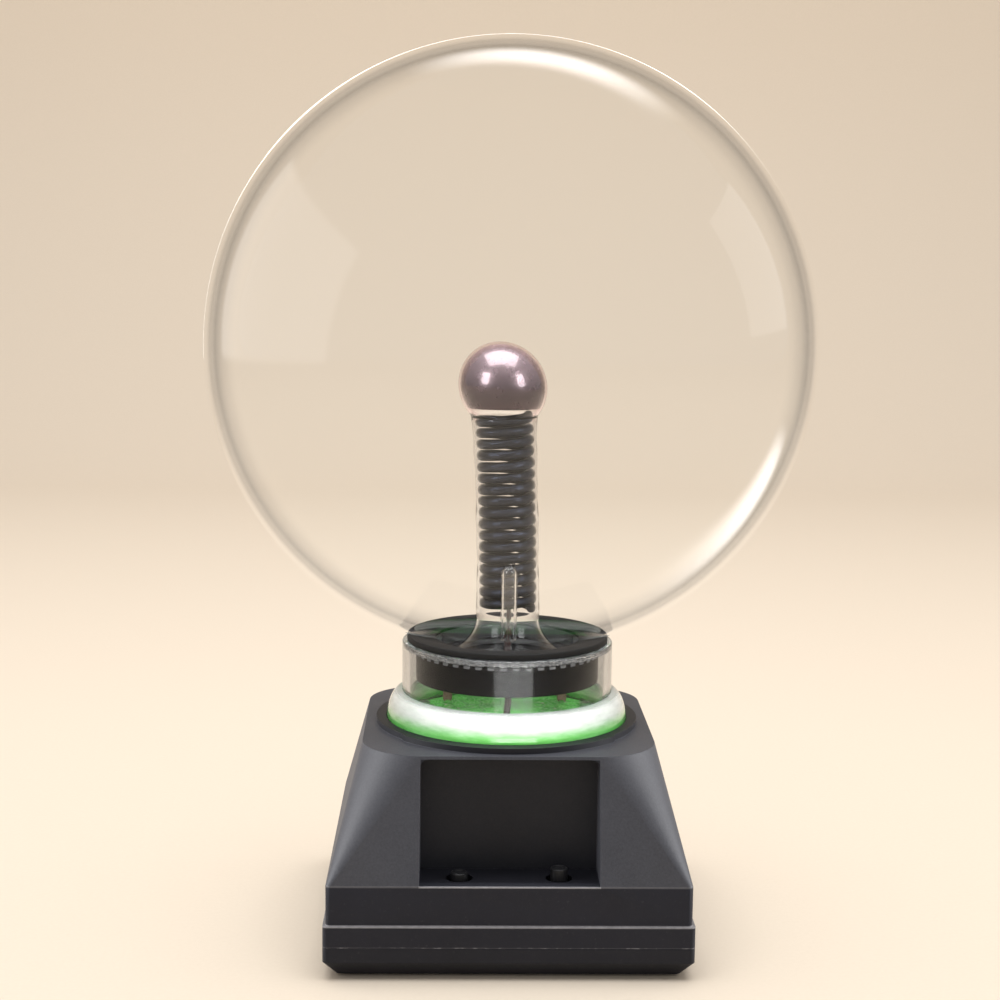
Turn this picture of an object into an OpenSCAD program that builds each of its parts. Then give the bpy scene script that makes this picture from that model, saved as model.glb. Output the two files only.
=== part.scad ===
// Plasma ball: a glass globe with a ball electrode on a glass stem, carried by a clear
// collar on a square moulded base. The base holds the drive circuit, the power socket
// and two latching push buttons at the bottom of a front pocket.
// Millimetres. +Z is up, the front faces -Y, and the origin lies under the centre of
// the base, on the surface that the rubber feet stand on.

/* [Globe] */
// Outside diameter of the glass globe
globe_d = 200; // [160:1:240]
// Thickness of the globe's glass
globe_wall = 1.6; // [1.2:0.1:2.4]
// Outside radius of the globe's neck, where the stem is sealed in
neck_r = 24; // [21:0.5:26]
// Length of the globe's neck below the sphere
neck_len = 8; // [6:0.5:10]

/* [Electrode] */
// Outside radius of the glass stem
stem_r = 10.4; // [8.5:0.1:12.5]
// Outside radius of the glass ball on top of the stem
ball_r = 14.7; // [13:0.1:18]
// Height of the ball's centre above the lowest point of the globe's sphere
ball_lift = 87; // [72:0.5:105]
// Share of the room between stem and ball radius by which the ball sits off to the left
ball_lean = 0.58; // [0:0.01:0.7]
// Glass thickness of the stem and the ball
stem_wall = 1.2; // [0.8:0.1:1.6]
// Thickness of the conductive lining in the ball
lining_t = 0.5; // [0.3:0.1:1]
// How far below the ball's centre the lining ends
lining_drop = 6.5; // [4:0.5:9]
// Wire diameter of the contact coil in the stem
coil_wire = 3.4; // [1.5:0.1:3.4]
// Turns of the contact coil
coil_turns = 17; // [10:1:18]
// Height of the clear sleeve round the end of the high-voltage lead
sleeve_h = 24; // [16:1:30]
// Outside radius of the closed exhaust nib in front of the stem
nib_r = 2.7; // [2:0.1:3.2]
// Height of the nib's top above the stem's foot
nib_h = 18; // [10:0.5:24]

/* [Collar and neck] */
// Outside radius of the clear collar
collar_r = 35.2; // [34:0.1:38]
// Outside radius of the collar's foot
collar_foot_r = 40.3; // [39.5:0.1:42]
// Height of the collar
collar_h = 27.5; // [24:0.5:33]
// Height of the upright edge at the collar's foot
collar_edge_h = 1.5; // [1:0.1:2]
// Height of the rounded flare above that edge
flare_h = 9.3; // [7:0.1:11]
// Wall thickness of the collar
collar_wall = 2.6; // [2:0.1:3]
// Thickness of the ledge round the inside of the collar's top
ledge_t = 1.9; // [1.5:0.1:2.5]
// Outside radius of the black neck socket
socket_r = 30.5; // [29.5:0.1:31.2]
// Height of the neck socket
socket_h = 10.8; // [9:0.1:13]
// Wall thickness of the neck socket
socket_wall = 2.2; // [1.6:0.1:2.6]
// Number of teeth round the neck socket's rim
socket_teeth = 48; // [24:1:60]
// Height of those teeth
tooth_h = 1.2; // [0.8:0.1:1.6]
// Height of the rubber gasket above the collar
gasket_h = 2.15; // [1.5:0.05:3]
// Outside radius of the gasket
gasket_r = 33.6; // [31.5:0.1:33.8]
// Radius of the circle on which the globe rests
seat_r = 28.5; // [27.5:0.1:30]

/* [Casing] */
// Width of the upper casing's plinth
plinth_w = 114.6; // [112:0.2:130]
// How far the lower band stands out from the plinth on each side
band_step = 0.9; // [0.5:0.1:1.5]
// Width of the flat deck on top
deck_w = 94.4; // [92:0.2:106]
// Corner radius of the deck
deck_corner_r = 20; // [12:0.5:26]
// Corner radius of the plinth
plinth_corner_r = 1.5; // [1:0.1:4]
// Height of the bottom cover's side
cover_h = 9.7; // [8:0.1:12]
// Height of the lower band above the bottom cover
band_h = 6.9; // [5:0.1:9]
// Height of the plinth above the band
plinth_h = 12.6; // [10:0.1:16]
// Height of the sloping part of the casing
slope_h = 39; // [34:0.5:60]
// Wall thickness of the mouldings
wall = 2.2; // [1.8:0.1:2.8]
// Height of the chamfer round the bottom cover
chamfer_h = 5; // [3:0.5:6]
// How far that chamfer goes in
chamfer_in = 4; // [2:0.5:5]
// Height of the seat ring round the collar
ring_h = 1.9; // [1.2:0.1:3]
// Width of the seat ring
ring_w = 3.3; // [2.5:0.1:4]
// How far the seat ring's front and back sectors step out
ring_step = 1.2; // [0.6:0.1:1.8]

/* [Pocket and buttons] */
// Width of the finger pocket
pocket_w = 56.5; // [54:0.5:60]
// Distance of the pocket's back wall from the middle of the base
pocket_back = 39.4; // [39:0.1:42]
// Radius of the pocket's upper corners
pocket_corner_r = 3; // [2:0.5:5]
// Thickness of the deck above the pocket
lintel_t = 1; // [0.8:0.1:1.6]
// Distance of each button from the middle
button_x = 15.7; // [14:0.1:17]
// Distance of the buttons from the middle of the base, towards the front
button_y = 48.2; // [47.2:0.1:49.5]
// Diameter of the holes that the buttons come through
button_hole_d = 8.4; // [7:0.1:9]
// Diameter of the buttons
button_d = 5.5; // [5:0.1:6.5]
// Height of a button above the pocket's floor when it is out
button_out = 3.5; // [3:0.1:4.5]
// How much lower a button stands when it is latched in
latch_drop = 1.5; // [1:0.1:2]
// Full travel of a button
button_travel = 2.5; // [2:0.1:3]
// Side of the square switch bodies
switch_w = 8.5; // [8:0.1:10]
// Height of the switch bodies
switch_h = 8.5; // [8:0.1:9]
// Radius of the switch plungers
plunger_r = 1.7; // [1.5:0.1:2.2]

/* [Circuit] */
// Thickness of both circuit boards
board_t = 1.6; // [1:0.1:2]
// Outside width of the transformer's core
core_w = 26; // [24:0.5:30]
// Height of the transformer's core
core_h = 25; // [22:0.5:28]
// Thickness of the transformer's core
core_t = 8; // [6:0.5:10]
// Width of the heat sink
heat_sink_w = 24; // [18:1:28]
// Height of the heat sink
heat_sink_h = 30; // [24:1:34]
// Diameter of the large smoothing capacitor
capacitor_d = 10; // [8:0.5:12]
// Length of the large smoothing capacitor
capacitor_h = 16; // [12:0.5:20]

/* [Power socket] */
// Diameter of the socket's threaded barrel
barrel_d = 8; // [7.4:0.1:9]
// Bore of the socket, for the plug's outer sleeve
inlet_bore_d = 5.6; // [5.5:0.1:6.4]
// Diameter of the socket's centre pin
inlet_pin_d = 2; // [1.6:0.1:2.5]
// Depth of the bore
inlet_depth = 9.5; // [8:0.5:11]

/* [Fasteners, feet and leads] */
// Diameter of the rubber feet
foot_d = 12; // [8:0.5:14]
// Height that the feet stand out below the cover
foot_h = 1; // [0.6:0.1:2]
// Shank diameter of the casing screws
screw_d = 3; // [2.6:0.1:3.5]
// Shank diameter of the board screws
small_screw_d = 2.2; // [2:0.1:2.6]
// Diameter of the high-voltage lead
hv_lead_d = 2.4; // [1.8:0.1:2.8]
// Diameter of the other leads
lead_d = 1.3; // [1:0.1:1.6]

/* [Hidden] */
$fn = 96;

// Clearances: between glued or seated pieces, for a running fit, and round a screw
seat_gap = 0.05;
run_gap = 0.05;
screw_gap = 0.25;
// Small overlap that makes cuts go right through
cut = 0.5;

// Heights of the casing, from the ground up
seam_z = foot_h + cover_h;
band_z = seam_z + band_h;
shelf_z = band_z + plinth_h;
deck_z = shelf_z + slope_h;
band_w = plinth_w + 2 * band_step;

// Neck and globe, stacked on the deck
collar_top_z = deck_z + collar_h;
ledge_z = collar_top_z - ledge_t;
ledge_r = socket_r - socket_wall + 0.7;
gasket_z = collar_top_z + gasket_h;
socket_z = ledge_z - socket_h;
globe_r = globe_d / 2;
globe_z = gasket_z + sqrt(globe_r * globe_r - seat_r * seat_r);
neck_top_z = globe_z - sqrt(globe_r * globe_r - neck_r * neck_r);
neck_z = neck_top_z - neck_len;

// Electrode
ball_z = globe_z - globe_r + ball_lift;
stem_bore_r = stem_r - stem_wall;
flare_r = neck_r - globe_wall - seat_gap - stem_r;
flare_z = neck_top_z - 3.5;
stem_foot_z = flare_z + flare_r;
stem_top_z = ball_z - sqrt(ball_r * ball_r - stem_r * stem_r);
ball_x = -ball_lean * (ball_r - stem_r);
tube_end_z = ball_z - 0.9 * sqrt(pow(ball_r, 2) - pow(stem_r - ball_x, 2));
ball_bore_r = ball_r - stem_wall;
coil_r = stem_bore_r - seat_gap - coil_wire / 2;
coil_z = stem_foot_z + 1;
coil_top_z = min(stem_top_z + 1, ball_z - lining_drop - coil_wire / 2 - 0.3);
sleeve_r = hv_lead_d / 2 + 1.15;
sleeve_z = stem_foot_z - 5;

// Boards
board_r = collar_foot_r - collar_wall - 0.5;
board_top_z = deck_z + 0.6;
board_z = board_top_z - board_t;
deck_hole_r = board_r + 0.3;
lug_r = board_r - 3.7;
lug_w = 8;
lug_t = 3;
lug_angles = [30, 150, 270];

// Pocket
pocket_top_z = deck_z - lintel_t;
switch_board_top_z = shelf_z - 14.7;
switch_board_z = switch_board_top_z - board_t;
switch_board_w = 60;
switch_board_gap = 0.4;
switch_board_d = 2 * (plinth_w / 2 - wall - switch_board_gap - button_y);
pillar_x = button_x + 10.3;
pillar_r = 3;
cap_top_z = shelf_z + button_out;
switch_top_z = switch_board_top_z + switch_h;
cap_z = switch_top_z + button_travel + 0.3;
plunger_guide = 2.5;
plunger_z = switch_top_z - plunger_guide;
bore_floor_z = switch_board_top_z + 0.8;
spring_wire_r = 0.15;
spring_turns = 5;

// Casing screws and feet
boss_x = plinth_w / 2 - 8.8;
boss_y = 20;
boss_r = 3.8;
boss_top_z = shelf_z + 16;
screw_seat_z = foot_h + 3.2;
foot_x = plinth_w / 2 - 13.3;
lip_h = 2.5;
lip_gap = 0.2;
cover_floor_t = 2.2;

// Power socket, in the middle of the back
inlet_z = band_z + plinth_h / 2;
back_y = plinth_w / 2;
barrel_out = 3;
nut_t = 2;

// Transformer
core_x = core_w / 2 + 1;
core_y = 6;
core_z = board_z - 2 - core_h;
leg_w = core_w * 0.23;
yoke_t = 3.5;
side_leg_w = 2.5;
window_w = (core_w - leg_w) / 2 - side_leg_w;
window_h = core_h - 2 * yoke_t;
bobbin_t = 1;

// Heat sink
heat_sink_t = 2;
heat_sink_x = -16;
heat_sink_y = 10;
fin_count = 5;
fin_h = 5;

// Lead routes, from the lower end to the upper end
winding_front_y = core_y - core_t / 2 - window_w + 0.6;
hv_route = [
    [core_x - 4, winding_front_y, core_z + 13],
    [core_x - 4, winding_front_y - 2, core_z + 13],
    [core_x - 6, winding_front_y - 4, core_z + 14.5],
    [core_x - 10, winding_front_y - 3.5, core_z + 17],
    [0, winding_front_y + 1, core_z + 21],
    [0, 0, board_z + 2],
    [0.6, -0.4, board_z + 10],
    [-0.5, 0.3, board_z + 20],
    [0, 0, neck_z],
    [0, 0, sleeve_z],
    [0, 0, sleeve_z + sleeve_h / 2],
    [0, 0, sleeve_z + sleeve_h - 3]
];
inlet_back_y = back_y + barrel_out - inlet_depth - 5;
socket_lead_x = 3;
switch_lead_x = 6;

function unit(v) = v / norm(v);

// Point at share s of the way from b to c on a smooth curve through a, b, c and d
function curve_point(a, b, c, d, s) =
    0.5 * (2 * b + (c - a) * s + (2 * a - 5 * b + 4 * c - d) * s * s
        + (3 * b - a - 3 * c + d) * s * s * s);

// Smooth curve through points p, with n steps from each to the next
function curve(p, n) = [
    for (i = [0 : len(p) - 2])
        for (k = [0 : (i == len(p) - 2 ? n : n - 1)])
            curve_point(p[max(i - 1, 0)], p[i], p[i + 1], p[min(i + 2, len(p) - 1)], k / n)
];

// Path of a lead through points p: its first and last stretches are straight
function lead_path(p, n) = concat(
    [p[0]],
    curve([for (i = [1 : len(p) - 2]) p[i]], n),
    [p[len(p) - 1]]
);

// Helix of radius r from z0 to z1
function helix(r, z0, z1, turns, steps) = [
    for (i = [0 : turns * steps])
        [r * cos(360 * i / steps), r * sin(360 * i / steps), z0 + (z1 - z0) * i / (turns * steps)]
];

function tangent(p, i) = unit(p[min(i + 1, len(p) - 1)] - p[max(i - 1, 0)]);

// Round tube of radius r along the points p; ref is never parallel to the tube
module swept_tube(p, r, ref, sides) {
    rings = [
        for (i = [0 : len(p) - 1])
            let (t = tangent(p, i), u = unit(cross(t, ref)), v = cross(t, u))
                for (k = [0 : sides - 1])
                    p[i] + r * (cos(360 * k / sides) * u + sin(360 * k / sides) * v)
    ];
    last = (len(p) - 1) * sides;
    polyhedron(
        points = rings,
        faces = concat(
            [[for (k = [0 : sides - 1]) k]],
            [[for (k = [0 : sides - 1]) last + sides - 1 - k]],
            [for (i = [0 : len(p) - 2]) for (k = [0 : sides - 1])
                [i * sides + k, (i + 1) * sides + k, (i + 1) * sides + (k + 1) % sides]],
            [for (i = [0 : len(p) - 2]) for (k = [0 : sides - 1])
                [i * sides + k, (i + 1) * sides + (k + 1) % sides, i * sides + (k + 1) % sides]]
        )
    );
}

module tube(h, r, bore) {
    difference() {
        cylinder(h = h, r = r);
        translate([0, 0, -cut])
            cylinder(h = h + 2 * cut, r = bore);
    }
}

module rounded_rect(w, d, r) {
    square([w - 2 * r, d], center = true);
    square([w, d - 2 * r], center = true);
    for (x = [-1, 1], y = [-1, 1])
        translate([x * (w / 2 - r), y * (d / 2 - r)])
            circle(r = r);
}

// Square prism with rounded upright edges, from z0 to z1
module prism(w, r, z0, z1) {
    translate([0, 0, z0])
        linear_extrude(height = z1 - z0)
            rounded_rect(w, w, r);
}

// Thin slice of such a prism, for the ends of a hull
module slice(w, r, z) {
    thin = 0.01;
    translate([0, 0, z])
        linear_extrude(height = thin)
            rounded_rect(w, w, r, $fn = 48);
}

module box(w, d, h) {
    translate([-w / 2, -d / 2, 0])
        cube([w, d, h]);
}

module at_corners(x, y) {
    for (i = [-1, 1], j = [-1, 1])
        translate([i * x, j * y, 0])
            children();
}

module at_lugs() {
    for (a = lug_angles)
        rotate([0, 0, a])
            translate([lug_r, 0, 0])
                children();
}

// Pan-head screw pointing up, with its head's underside at z = 0
module screw_up(shank_r, head_r, head_h, length) {
    difference() {
        union() {
            cylinder(h = length, r = shank_r);
            translate([0, 0, -head_h])
                cylinder(h = head_h, r = head_r);
        }
        translate([0, 0, -head_h - cut])
            for (a = [0, 90])
                rotate([0, 0, a])
                    box(head_r * 1.2, head_r * 0.25, cut + head_h * 0.5);
    }
}

// ---- Glass ----

module globe() {
    color([0.9, 0.95, 1, 0.25])
        difference() {
            union() {
                translate([0, 0, globe_z])
                    sphere(r = globe_r);
                translate([0, 0, neck_z])
                    cylinder(h = neck_len + 2, r = neck_r);
            }
            translate([0, 0, globe_z])
                sphere(r = globe_r - globe_wall);
            translate([0, 0, neck_z - cut])
                cylinder(h = neck_len + 6, r = neck_r - globe_wall);
        }
}

// Section of the glass flare at the stem's foot, offset inwards by t
function flare_arc(t) = [
    for (i = [0 : 12])
        let (a = 180 + 90 * i / 12)
            [stem_r + flare_r + (flare_r + t) * cos(a), stem_foot_z + (flare_r + t) * sin(a)]
];

module stem_flare() {
    outside = flare_arc(0);
    inside = flare_arc(stem_wall);
    rotate_extrude()
        polygon(concat(outside, [for (i = [len(inside) - 1 : -1 : 0]) inside[i]]));
}

module electrode_stem() {
    color([0.9, 0.9, 0.95, 0.35])
        union() {
            stem_flare();
            difference() {
                union() {
                    translate([0, 0, stem_foot_z])
                        cylinder(h = tube_end_z - stem_foot_z, r = stem_r);
                    translate([ball_x, 0, ball_z])
                        sphere(r = ball_r);
                }
                translate([0, 0, stem_foot_z - cut])
                    cylinder(h = ball_z - stem_foot_z + cut, r = stem_bore_r);
                translate([ball_x, 0, ball_z])
                    sphere(r = ball_bore_r);
            }
        }
}

module capped_rod(h, r) {
    cylinder(h = h - r, r = r);
    translate([0, 0, h - r])
        sphere(r = r);
}

// Everything below the stem's flare and inside its tube, with a small gap round it
module under_flare() {
    flare = flare_arc(-seat_gap);
    low_z = stem_foot_z - flare_r - cut;
    rotate_extrude()
        polygon(concat(
            [[0, low_z], [stem_r + flare_r, low_z]],
            [for (i = [len(flare) - 1 : -1 : 0]) flare[i]],
            [[0, stem_foot_z]]
        ));
}

module exhaust_nib() {
    nib_wall = 0.8;
    nib_z = stem_foot_z - flare_r;
    color([0.9, 0.9, 0.95, 0.35])
        difference() {
            translate([0, -stem_r - seat_gap - nib_r, nib_z])
                difference() {
                    capped_rod(nib_h + flare_r, nib_r);
                    translate([0, 0, -cut])
                        capped_rod(nib_h + flare_r - nib_wall + cut, nib_r - nib_wall);
                }
            under_flare();
        }
}

module ball_lining() {
    color([0.3, 0.22, 0.27])
        translate([ball_x, 0, ball_z])
            difference() {
                sphere(r = ball_bore_r - seat_gap);
                sphere(r = ball_bore_r - seat_gap - lining_t);
                translate([0, 0, -lining_drop - 2 * ball_r])
                    cylinder(h = 2 * ball_r, r = 2 * ball_r);
            }
}

module contact_coil() {
    color([0.4, 0.4, 0.42])
        swept_tube(helix(coil_r, coil_z, coil_top_z, coil_turns, 14), coil_wire / 2, [0, 0, 1], 6);
}

module lead_sleeve() {
    color([0.85, 0.85, 0.85, 0.5])
        translate([0, 0, sleeve_z])
            difference() {
                capped_rod(sleeve_h, sleeve_r);
                translate([0, 0, -cut])
                    cylinder(h = sleeve_h - 2.5 + cut, r = hv_lead_d / 2 + run_gap);
            }
}

module high_voltage_lead() {
    color([0.75, 0.1, 0.1])
        swept_tube(lead_path(hv_route, 3), hv_lead_d / 2, [1, 0.3, 0.6], 8);
}

// ---- Neck ----

module globe_gasket() {
    bore = neck_r + seat_gap;
    plug_r = socket_r - socket_wall - seat_gap;
    plug_z = neck_z;
    color([0.06, 0.06, 0.06])
        difference() {
            union() {
                translate([0, 0, collar_top_z])
                    cylinder(h = gasket_h, r = gasket_r);
                translate([0, 0, plug_z])
                    cylinder(h = collar_top_z - plug_z, r = plug_r);
            }
            translate([0, 0, plug_z - cut])
                cylinder(h = gasket_z - plug_z + 2 * cut, r = bore);
            translate([0, 0, globe_z])
                sphere(r = globe_r + seat_gap);
        }
}

module neck_socket() {
    floor_t = 2;
    floor_hole_r = stem_r + 2;
    tooth_w = PI * socket_r / socket_teeth;
    color([0.08, 0.08, 0.09])
        difference() {
            translate([0, 0, socket_z])
                tube(socket_h, socket_r, floor_hole_r);
            translate([0, 0, socket_z + floor_t])
                cylinder(h = socket_h, r = socket_r - socket_wall);
            for (i = [0 : socket_teeth - 1])
                rotate([0, 0, 360 * i / socket_teeth])
                    translate([socket_r, 0, ledge_z - tooth_h])
                        box(3 * socket_wall, tooth_w, tooth_h + cut);
        }
}

// Quarter of an ellipse round (r0, z0), from its lowest, widest point to its top
function flare_curve(r0, z0, rw, rh) = [
    for (i = [0 : 12])
        [r0 + rw * cos(90 * i / 12), z0 + rh * sin(90 * i / 12)]
];

module clear_collar() {
    bore = collar_r - collar_wall;
    spread = collar_foot_r - collar_r;
    edge_r = 0.6;
    outside = flare_curve(collar_r, deck_z + collar_edge_h, spread, flare_h);
    inside = flare_curve(bore, deck_z, spread, flare_h - 1);
    color([0.85, 0.9, 0.9, 0.35])
        rotate_extrude()
            polygon(concat(
                [[collar_foot_r, deck_z]],
                outside,
                [for (a = [0 : 30 : 90])
                    [collar_r - edge_r + edge_r * cos(a), collar_top_z - edge_r + edge_r * sin(a)]],
                [[ledge_r, collar_top_z], [ledge_r, ledge_z], [bore, ledge_z]],
                [for (i = [len(inside) - 1 : -1 : 0]) inside[i]]
            ));
}

// ---- Casing ----

module casing_outside() {
    prism(band_w, plinth_corner_r, seam_z, band_z);
    prism(plinth_w, plinth_corner_r, band_z, shelf_z);
    hull() {
        slice(plinth_w, plinth_corner_r, shelf_z - 0.01);
        slice(deck_w, deck_corner_r, deck_z - 0.01);
    }
}

module casing_inside() {
    prism(band_w - 2 * wall, plinth_corner_r, seam_z - cut, band_z - wall);
    prism(plinth_w - 2 * wall, plinth_corner_r, seam_z, shelf_z);
    hull() {
        slice(plinth_w - 2 * wall, plinth_corner_r, shelf_z - 0.02);
        slice(deck_w - 2 * wall, deck_corner_r - wall, deck_z - wall);
    }
}

// Block that the pocket is cut from, with its walls and floor
module pocket_block() {
    translate([0, -plinth_w / 2, shelf_z - wall])
        translate([-pocket_w / 2 - wall, 0, 0])
            cube([pocket_w + 2 * wall, plinth_w / 2 - pocket_back + wall, slope_h + wall]);
}

module pocket_cut() {
    depth = plinth_w / 2 - pocket_back + cut;
    translate([0, -pocket_back, 0])
        rotate([90, 0, 0])
            linear_extrude(height = depth) {
                translate([-pocket_w / 2, shelf_z])
                    square([pocket_w, pocket_top_z - shelf_z - pocket_corner_r]);
                translate([0, pocket_top_z - 2 * pocket_corner_r])
                    rounded_rect(pocket_w, 4 * pocket_corner_r, pocket_corner_r);
            }
}

module seat_ring() {
    ring_r = collar_foot_r + 0.15 + ring_w;
    sector_deg = 52;
    far = 3 * ring_r;
    translate([0, 0, deck_z - 0.2])
        difference() {
            union() {
                cylinder(h = ring_h + 0.2, r = ring_r);
                intersection() {
                    cylinder(h = ring_h + 0.2, r = ring_r + ring_step);
                    linear_extrude(height = ring_h + 0.2)
                        for (s = [-1, 1])
                            polygon([
                                [0, 0],
                                [far * sin(sector_deg), s * far * cos(sector_deg)],
                                [0, 2 * s * far],
                                [-far * sin(sector_deg), s * far * cos(sector_deg)]
                            ]);
                }
            }
            translate([0, 0, -cut])
                cylinder(h = ring_h + 0.2 + 2 * cut, r = collar_foot_r + 0.15);
        }
}

module casing_lugs() {
    at_lugs()
        translate([-4, -lug_w / 2, board_z - lug_t])
            cube([4 + deck_hole_r - lug_r + 2, lug_w, lug_t]);
}

module casing_shell() {
    difference() {
        casing_outside();
        casing_inside();
        translate([0, 0, deck_z - wall - cut])
            cylinder(h = wall + 2 * cut, r = deck_hole_r);
    }
}

module casing_bosses() {
    at_corners(boss_x, boss_y)
        translate([0, 0, seam_z])
            cylinder(h = boss_top_z - seam_z, r = boss_r);
    for (x = [-1, 1])
        translate([x * pillar_x, -button_y, switch_board_top_z])
            cylinder(h = shelf_z - switch_board_top_z - wall / 2, r = pillar_r);
}

module casing_holes() {
    for (x = [-1, 1]) {
        translate([x * button_x, -button_y, shelf_z - wall - cut])
            cylinder(h = wall + 2 * cut, d = button_hole_d);
        translate([x * pillar_x, -button_y, switch_board_top_z - cut])
            cylinder(h = 9, d = small_screw_d);
    }
    at_corners(boss_x, boss_y)
        translate([0, 0, seam_z - cut])
            cylinder(h = 14 + cut, d = screw_d);
    at_lugs()
        translate([0, 0, board_z - lug_t - cut])
            cylinder(h = lug_t + 2 * cut, d = small_screw_d);
    translate([0, back_y - wall - cut, inlet_z])
        rotate([-90, 0, 0])
            cylinder(h = wall + 2 * cut, r = barrel_d / 2 + run_gap);
}

module upper_casing() {
    color([0.11, 0.11, 0.12])
        difference() {
            union() {
                casing_shell();
                intersection() {
                    casing_outside();
                    union() {
                        difference() {
                            pocket_block();
                            translate([0, 0, board_z - lug_t])
                                cylinder(h = lug_t + 3 * board_t, r = deck_hole_r);
                        }
                        casing_bosses();
                    }
                }
                seat_ring();
                casing_lugs();
            }
            pocket_cut();
            casing_holes();
        }
}

module bottom_cover() {
    cavity_w = band_w - 2 * chamfer_in - 1.2;
    lip_w = band_w - 2 * wall - 2 * lip_gap;
    slot_w = 3;
    color([0.09, 0.09, 0.1])
        difference() {
            union() {
                difference() {
                    union() {
                        hull() {
                            slice(band_w - 2 * chamfer_in, plinth_corner_r, foot_h);
                            slice(band_w, plinth_corner_r, foot_h + chamfer_h - 0.01);
                        }
                        prism(band_w, plinth_corner_r, foot_h + chamfer_h - 0.01, seam_z);
                        prism(lip_w, plinth_corner_r, seam_z - 0.01, seam_z + lip_h);
                    }
                    prism(cavity_w, plinth_corner_r, foot_h + cover_floor_t, seam_z + lip_h + cut);
                }
                at_corners(boss_x, boss_y)
                    translate([0, 0, foot_h + 1])
                        cylinder(h = seam_z - foot_h - 1, r = boss_r);
            }
            at_corners(boss_x, boss_y) {
                translate([0, 0, foot_h - cut])
                    cylinder(h = cover_h + 2 * cut, d = screw_d + 2 * screw_gap);
                translate([0, 0, foot_h - cut])
                    cylinder(h = screw_seat_z - foot_h + cut, d = 2 * screw_d + 2 * screw_gap);
            }
            at_corners(foot_x, foot_x)
                translate([0, 0, foot_h - cut])
                    cylinder(h = 1 + cut, d = foot_d + 2 * seat_gap);
            for (i = [-2 : 2])
                translate([i * 8, 8, foot_h - cut])
                    box(slot_w, 40, cover_floor_t + 2 * cut);
        }
}

module rubber_feet() {
    color([0.12, 0.12, 0.12])
        at_corners(foot_x, foot_x)
            cylinder(h = foot_h + 1, d = foot_d);
}

module cover_screws() {
    color([0.6, 0.6, 0.62])
        at_corners(boss_x, boss_y)
            translate([0, 0, screw_seat_z])
                screw_up(screw_d / 2, screw_d, 2, 18);
}

// ---- Main board ----

module circuit_board() {
    color([0.2, 0.7, 0.25])
        difference() {
            translate([0, 0, board_z])
                cylinder(h = board_t, r = board_r);
            translate([0, 0, board_z - cut])
                cylinder(h = board_t + 2 * cut, r = hv_lead_d + 1.5);
            at_lugs()
                translate([0, 0, board_z - cut])
                    cylinder(h = board_t + 2 * cut, d = small_screw_d + 2 * screw_gap);
        }
}

module board_screws() {
    color([0.7, 0.7, 0.72])
        at_lugs()
            translate([0, 0, board_top_z])
                mirror([0, 0, 1])
                    screw_up(small_screw_d / 2, small_screw_d, 1.4, board_t + lug_t);
}

module flyback_core() {
    color([0.2, 0.2, 0.22])
        translate([core_x, core_y, core_z])
            difference() {
                box(core_w, core_t, core_h);
                for (s = [-1, 1])
                    translate([s * (leg_w + window_w) / 2, 0, yoke_t])
                        box(window_w, core_t + 2 * cut, window_h);
            }
}

// Upright square tube round the core's middle leg, w further out on each side
module leg_wrap(w, h) {
    linear_extrude(height = h)
        rounded_rect(leg_w + 2 * w, core_t + 2 * w, 0.8);
}

module flyback_bobbin() {
    flange = window_w - 0.4;
    color([0.15, 0.15, 0.15])
        translate([core_x, core_y, core_z + yoke_t + 0.1])
            difference() {
                union() {
                    leg_wrap(bobbin_t + 0.1, window_h - 0.2);
                    leg_wrap(flange, bobbin_t);
                    translate([0, 0, window_h - 0.2 - bobbin_t])
                        leg_wrap(flange, bobbin_t);
                }
                translate([0, 0, -cut])
                    box(leg_w + 2 * seat_gap, core_t + 2 * seat_gap, window_h + 2 * cut);
            }
}

module flyback_winding() {
    outer = window_w - 0.6;
    inner = bobbin_t + 0.1;
    color([0.75, 0.6, 0.15])
        translate([core_x, core_y, core_z + yoke_t + 0.1 + bobbin_t])
            difference() {
                linear_extrude(height = window_h - 0.2 - 2 * bobbin_t)
                    rounded_rect(leg_w + 2 * outer, core_t + 2 * outer, 3);
                translate([0, 0, -cut])
                    leg_wrap(inner, window_h + 2 * cut);
            }
}

module heat_sink() {
    color([0.75, 0.76, 0.78])
        translate([heat_sink_x, heat_sink_y, board_z - heat_sink_h])
            difference() {
                union() {
                    box(heat_sink_t, heat_sink_w, heat_sink_h);
                    for (i = [0 : fin_count - 1])
                        translate([
                            -(heat_sink_t + fin_h) / 2,
                            (i - (fin_count - 1) / 2) * (heat_sink_w - 1.2) / (fin_count - 1),
                            0
                        ])
                            box(fin_h + 0.01, 1.2, heat_sink_h);
                }
                translate([-10, 0, heat_sink_h - 14])
                    rotate([0, 90, 0])
                        cylinder(h = 20, d = screw_d);
            }
}

transistor_face_x = heat_sink_x + heat_sink_t / 2;

module power_transistor() {
    tab_t = 1.3;
    body_t = 4.5;
    color([0.1, 0.1, 0.1])
        translate([transistor_face_x, heat_sink_y, board_z])
            difference() {
                union() {
                    translate([tab_t / 2, 0, -17.5])
                        box(tab_t, 10, 6.5);
                    translate([body_t / 2, 0, -11])
                        box(body_t, 10, 9);
                    for (i = [-1 : 1])
                        translate([body_t / 2, i * 2.54, -2.1])
                            box(0.5, 0.9, 2.1);
                }
                translate([-1, 0, -14])
                    rotate([0, 90, 0])
                        cylinder(h = 4, d = screw_d + 0.6);
            }
}

module transistor_screw() {
    color([0.7, 0.7, 0.72])
        translate([transistor_face_x + 1.3, heat_sink_y, board_z - 14])
            rotate([0, -90, 0])
                screw_up(screw_d / 2, screw_d * 0.9, 2, 1.3 + heat_sink_t + 4);
}

module upright_can(x, y, d, h) {
    translate([x, y, board_z - h])
        cylinder(h = h, d = d);
}

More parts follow.
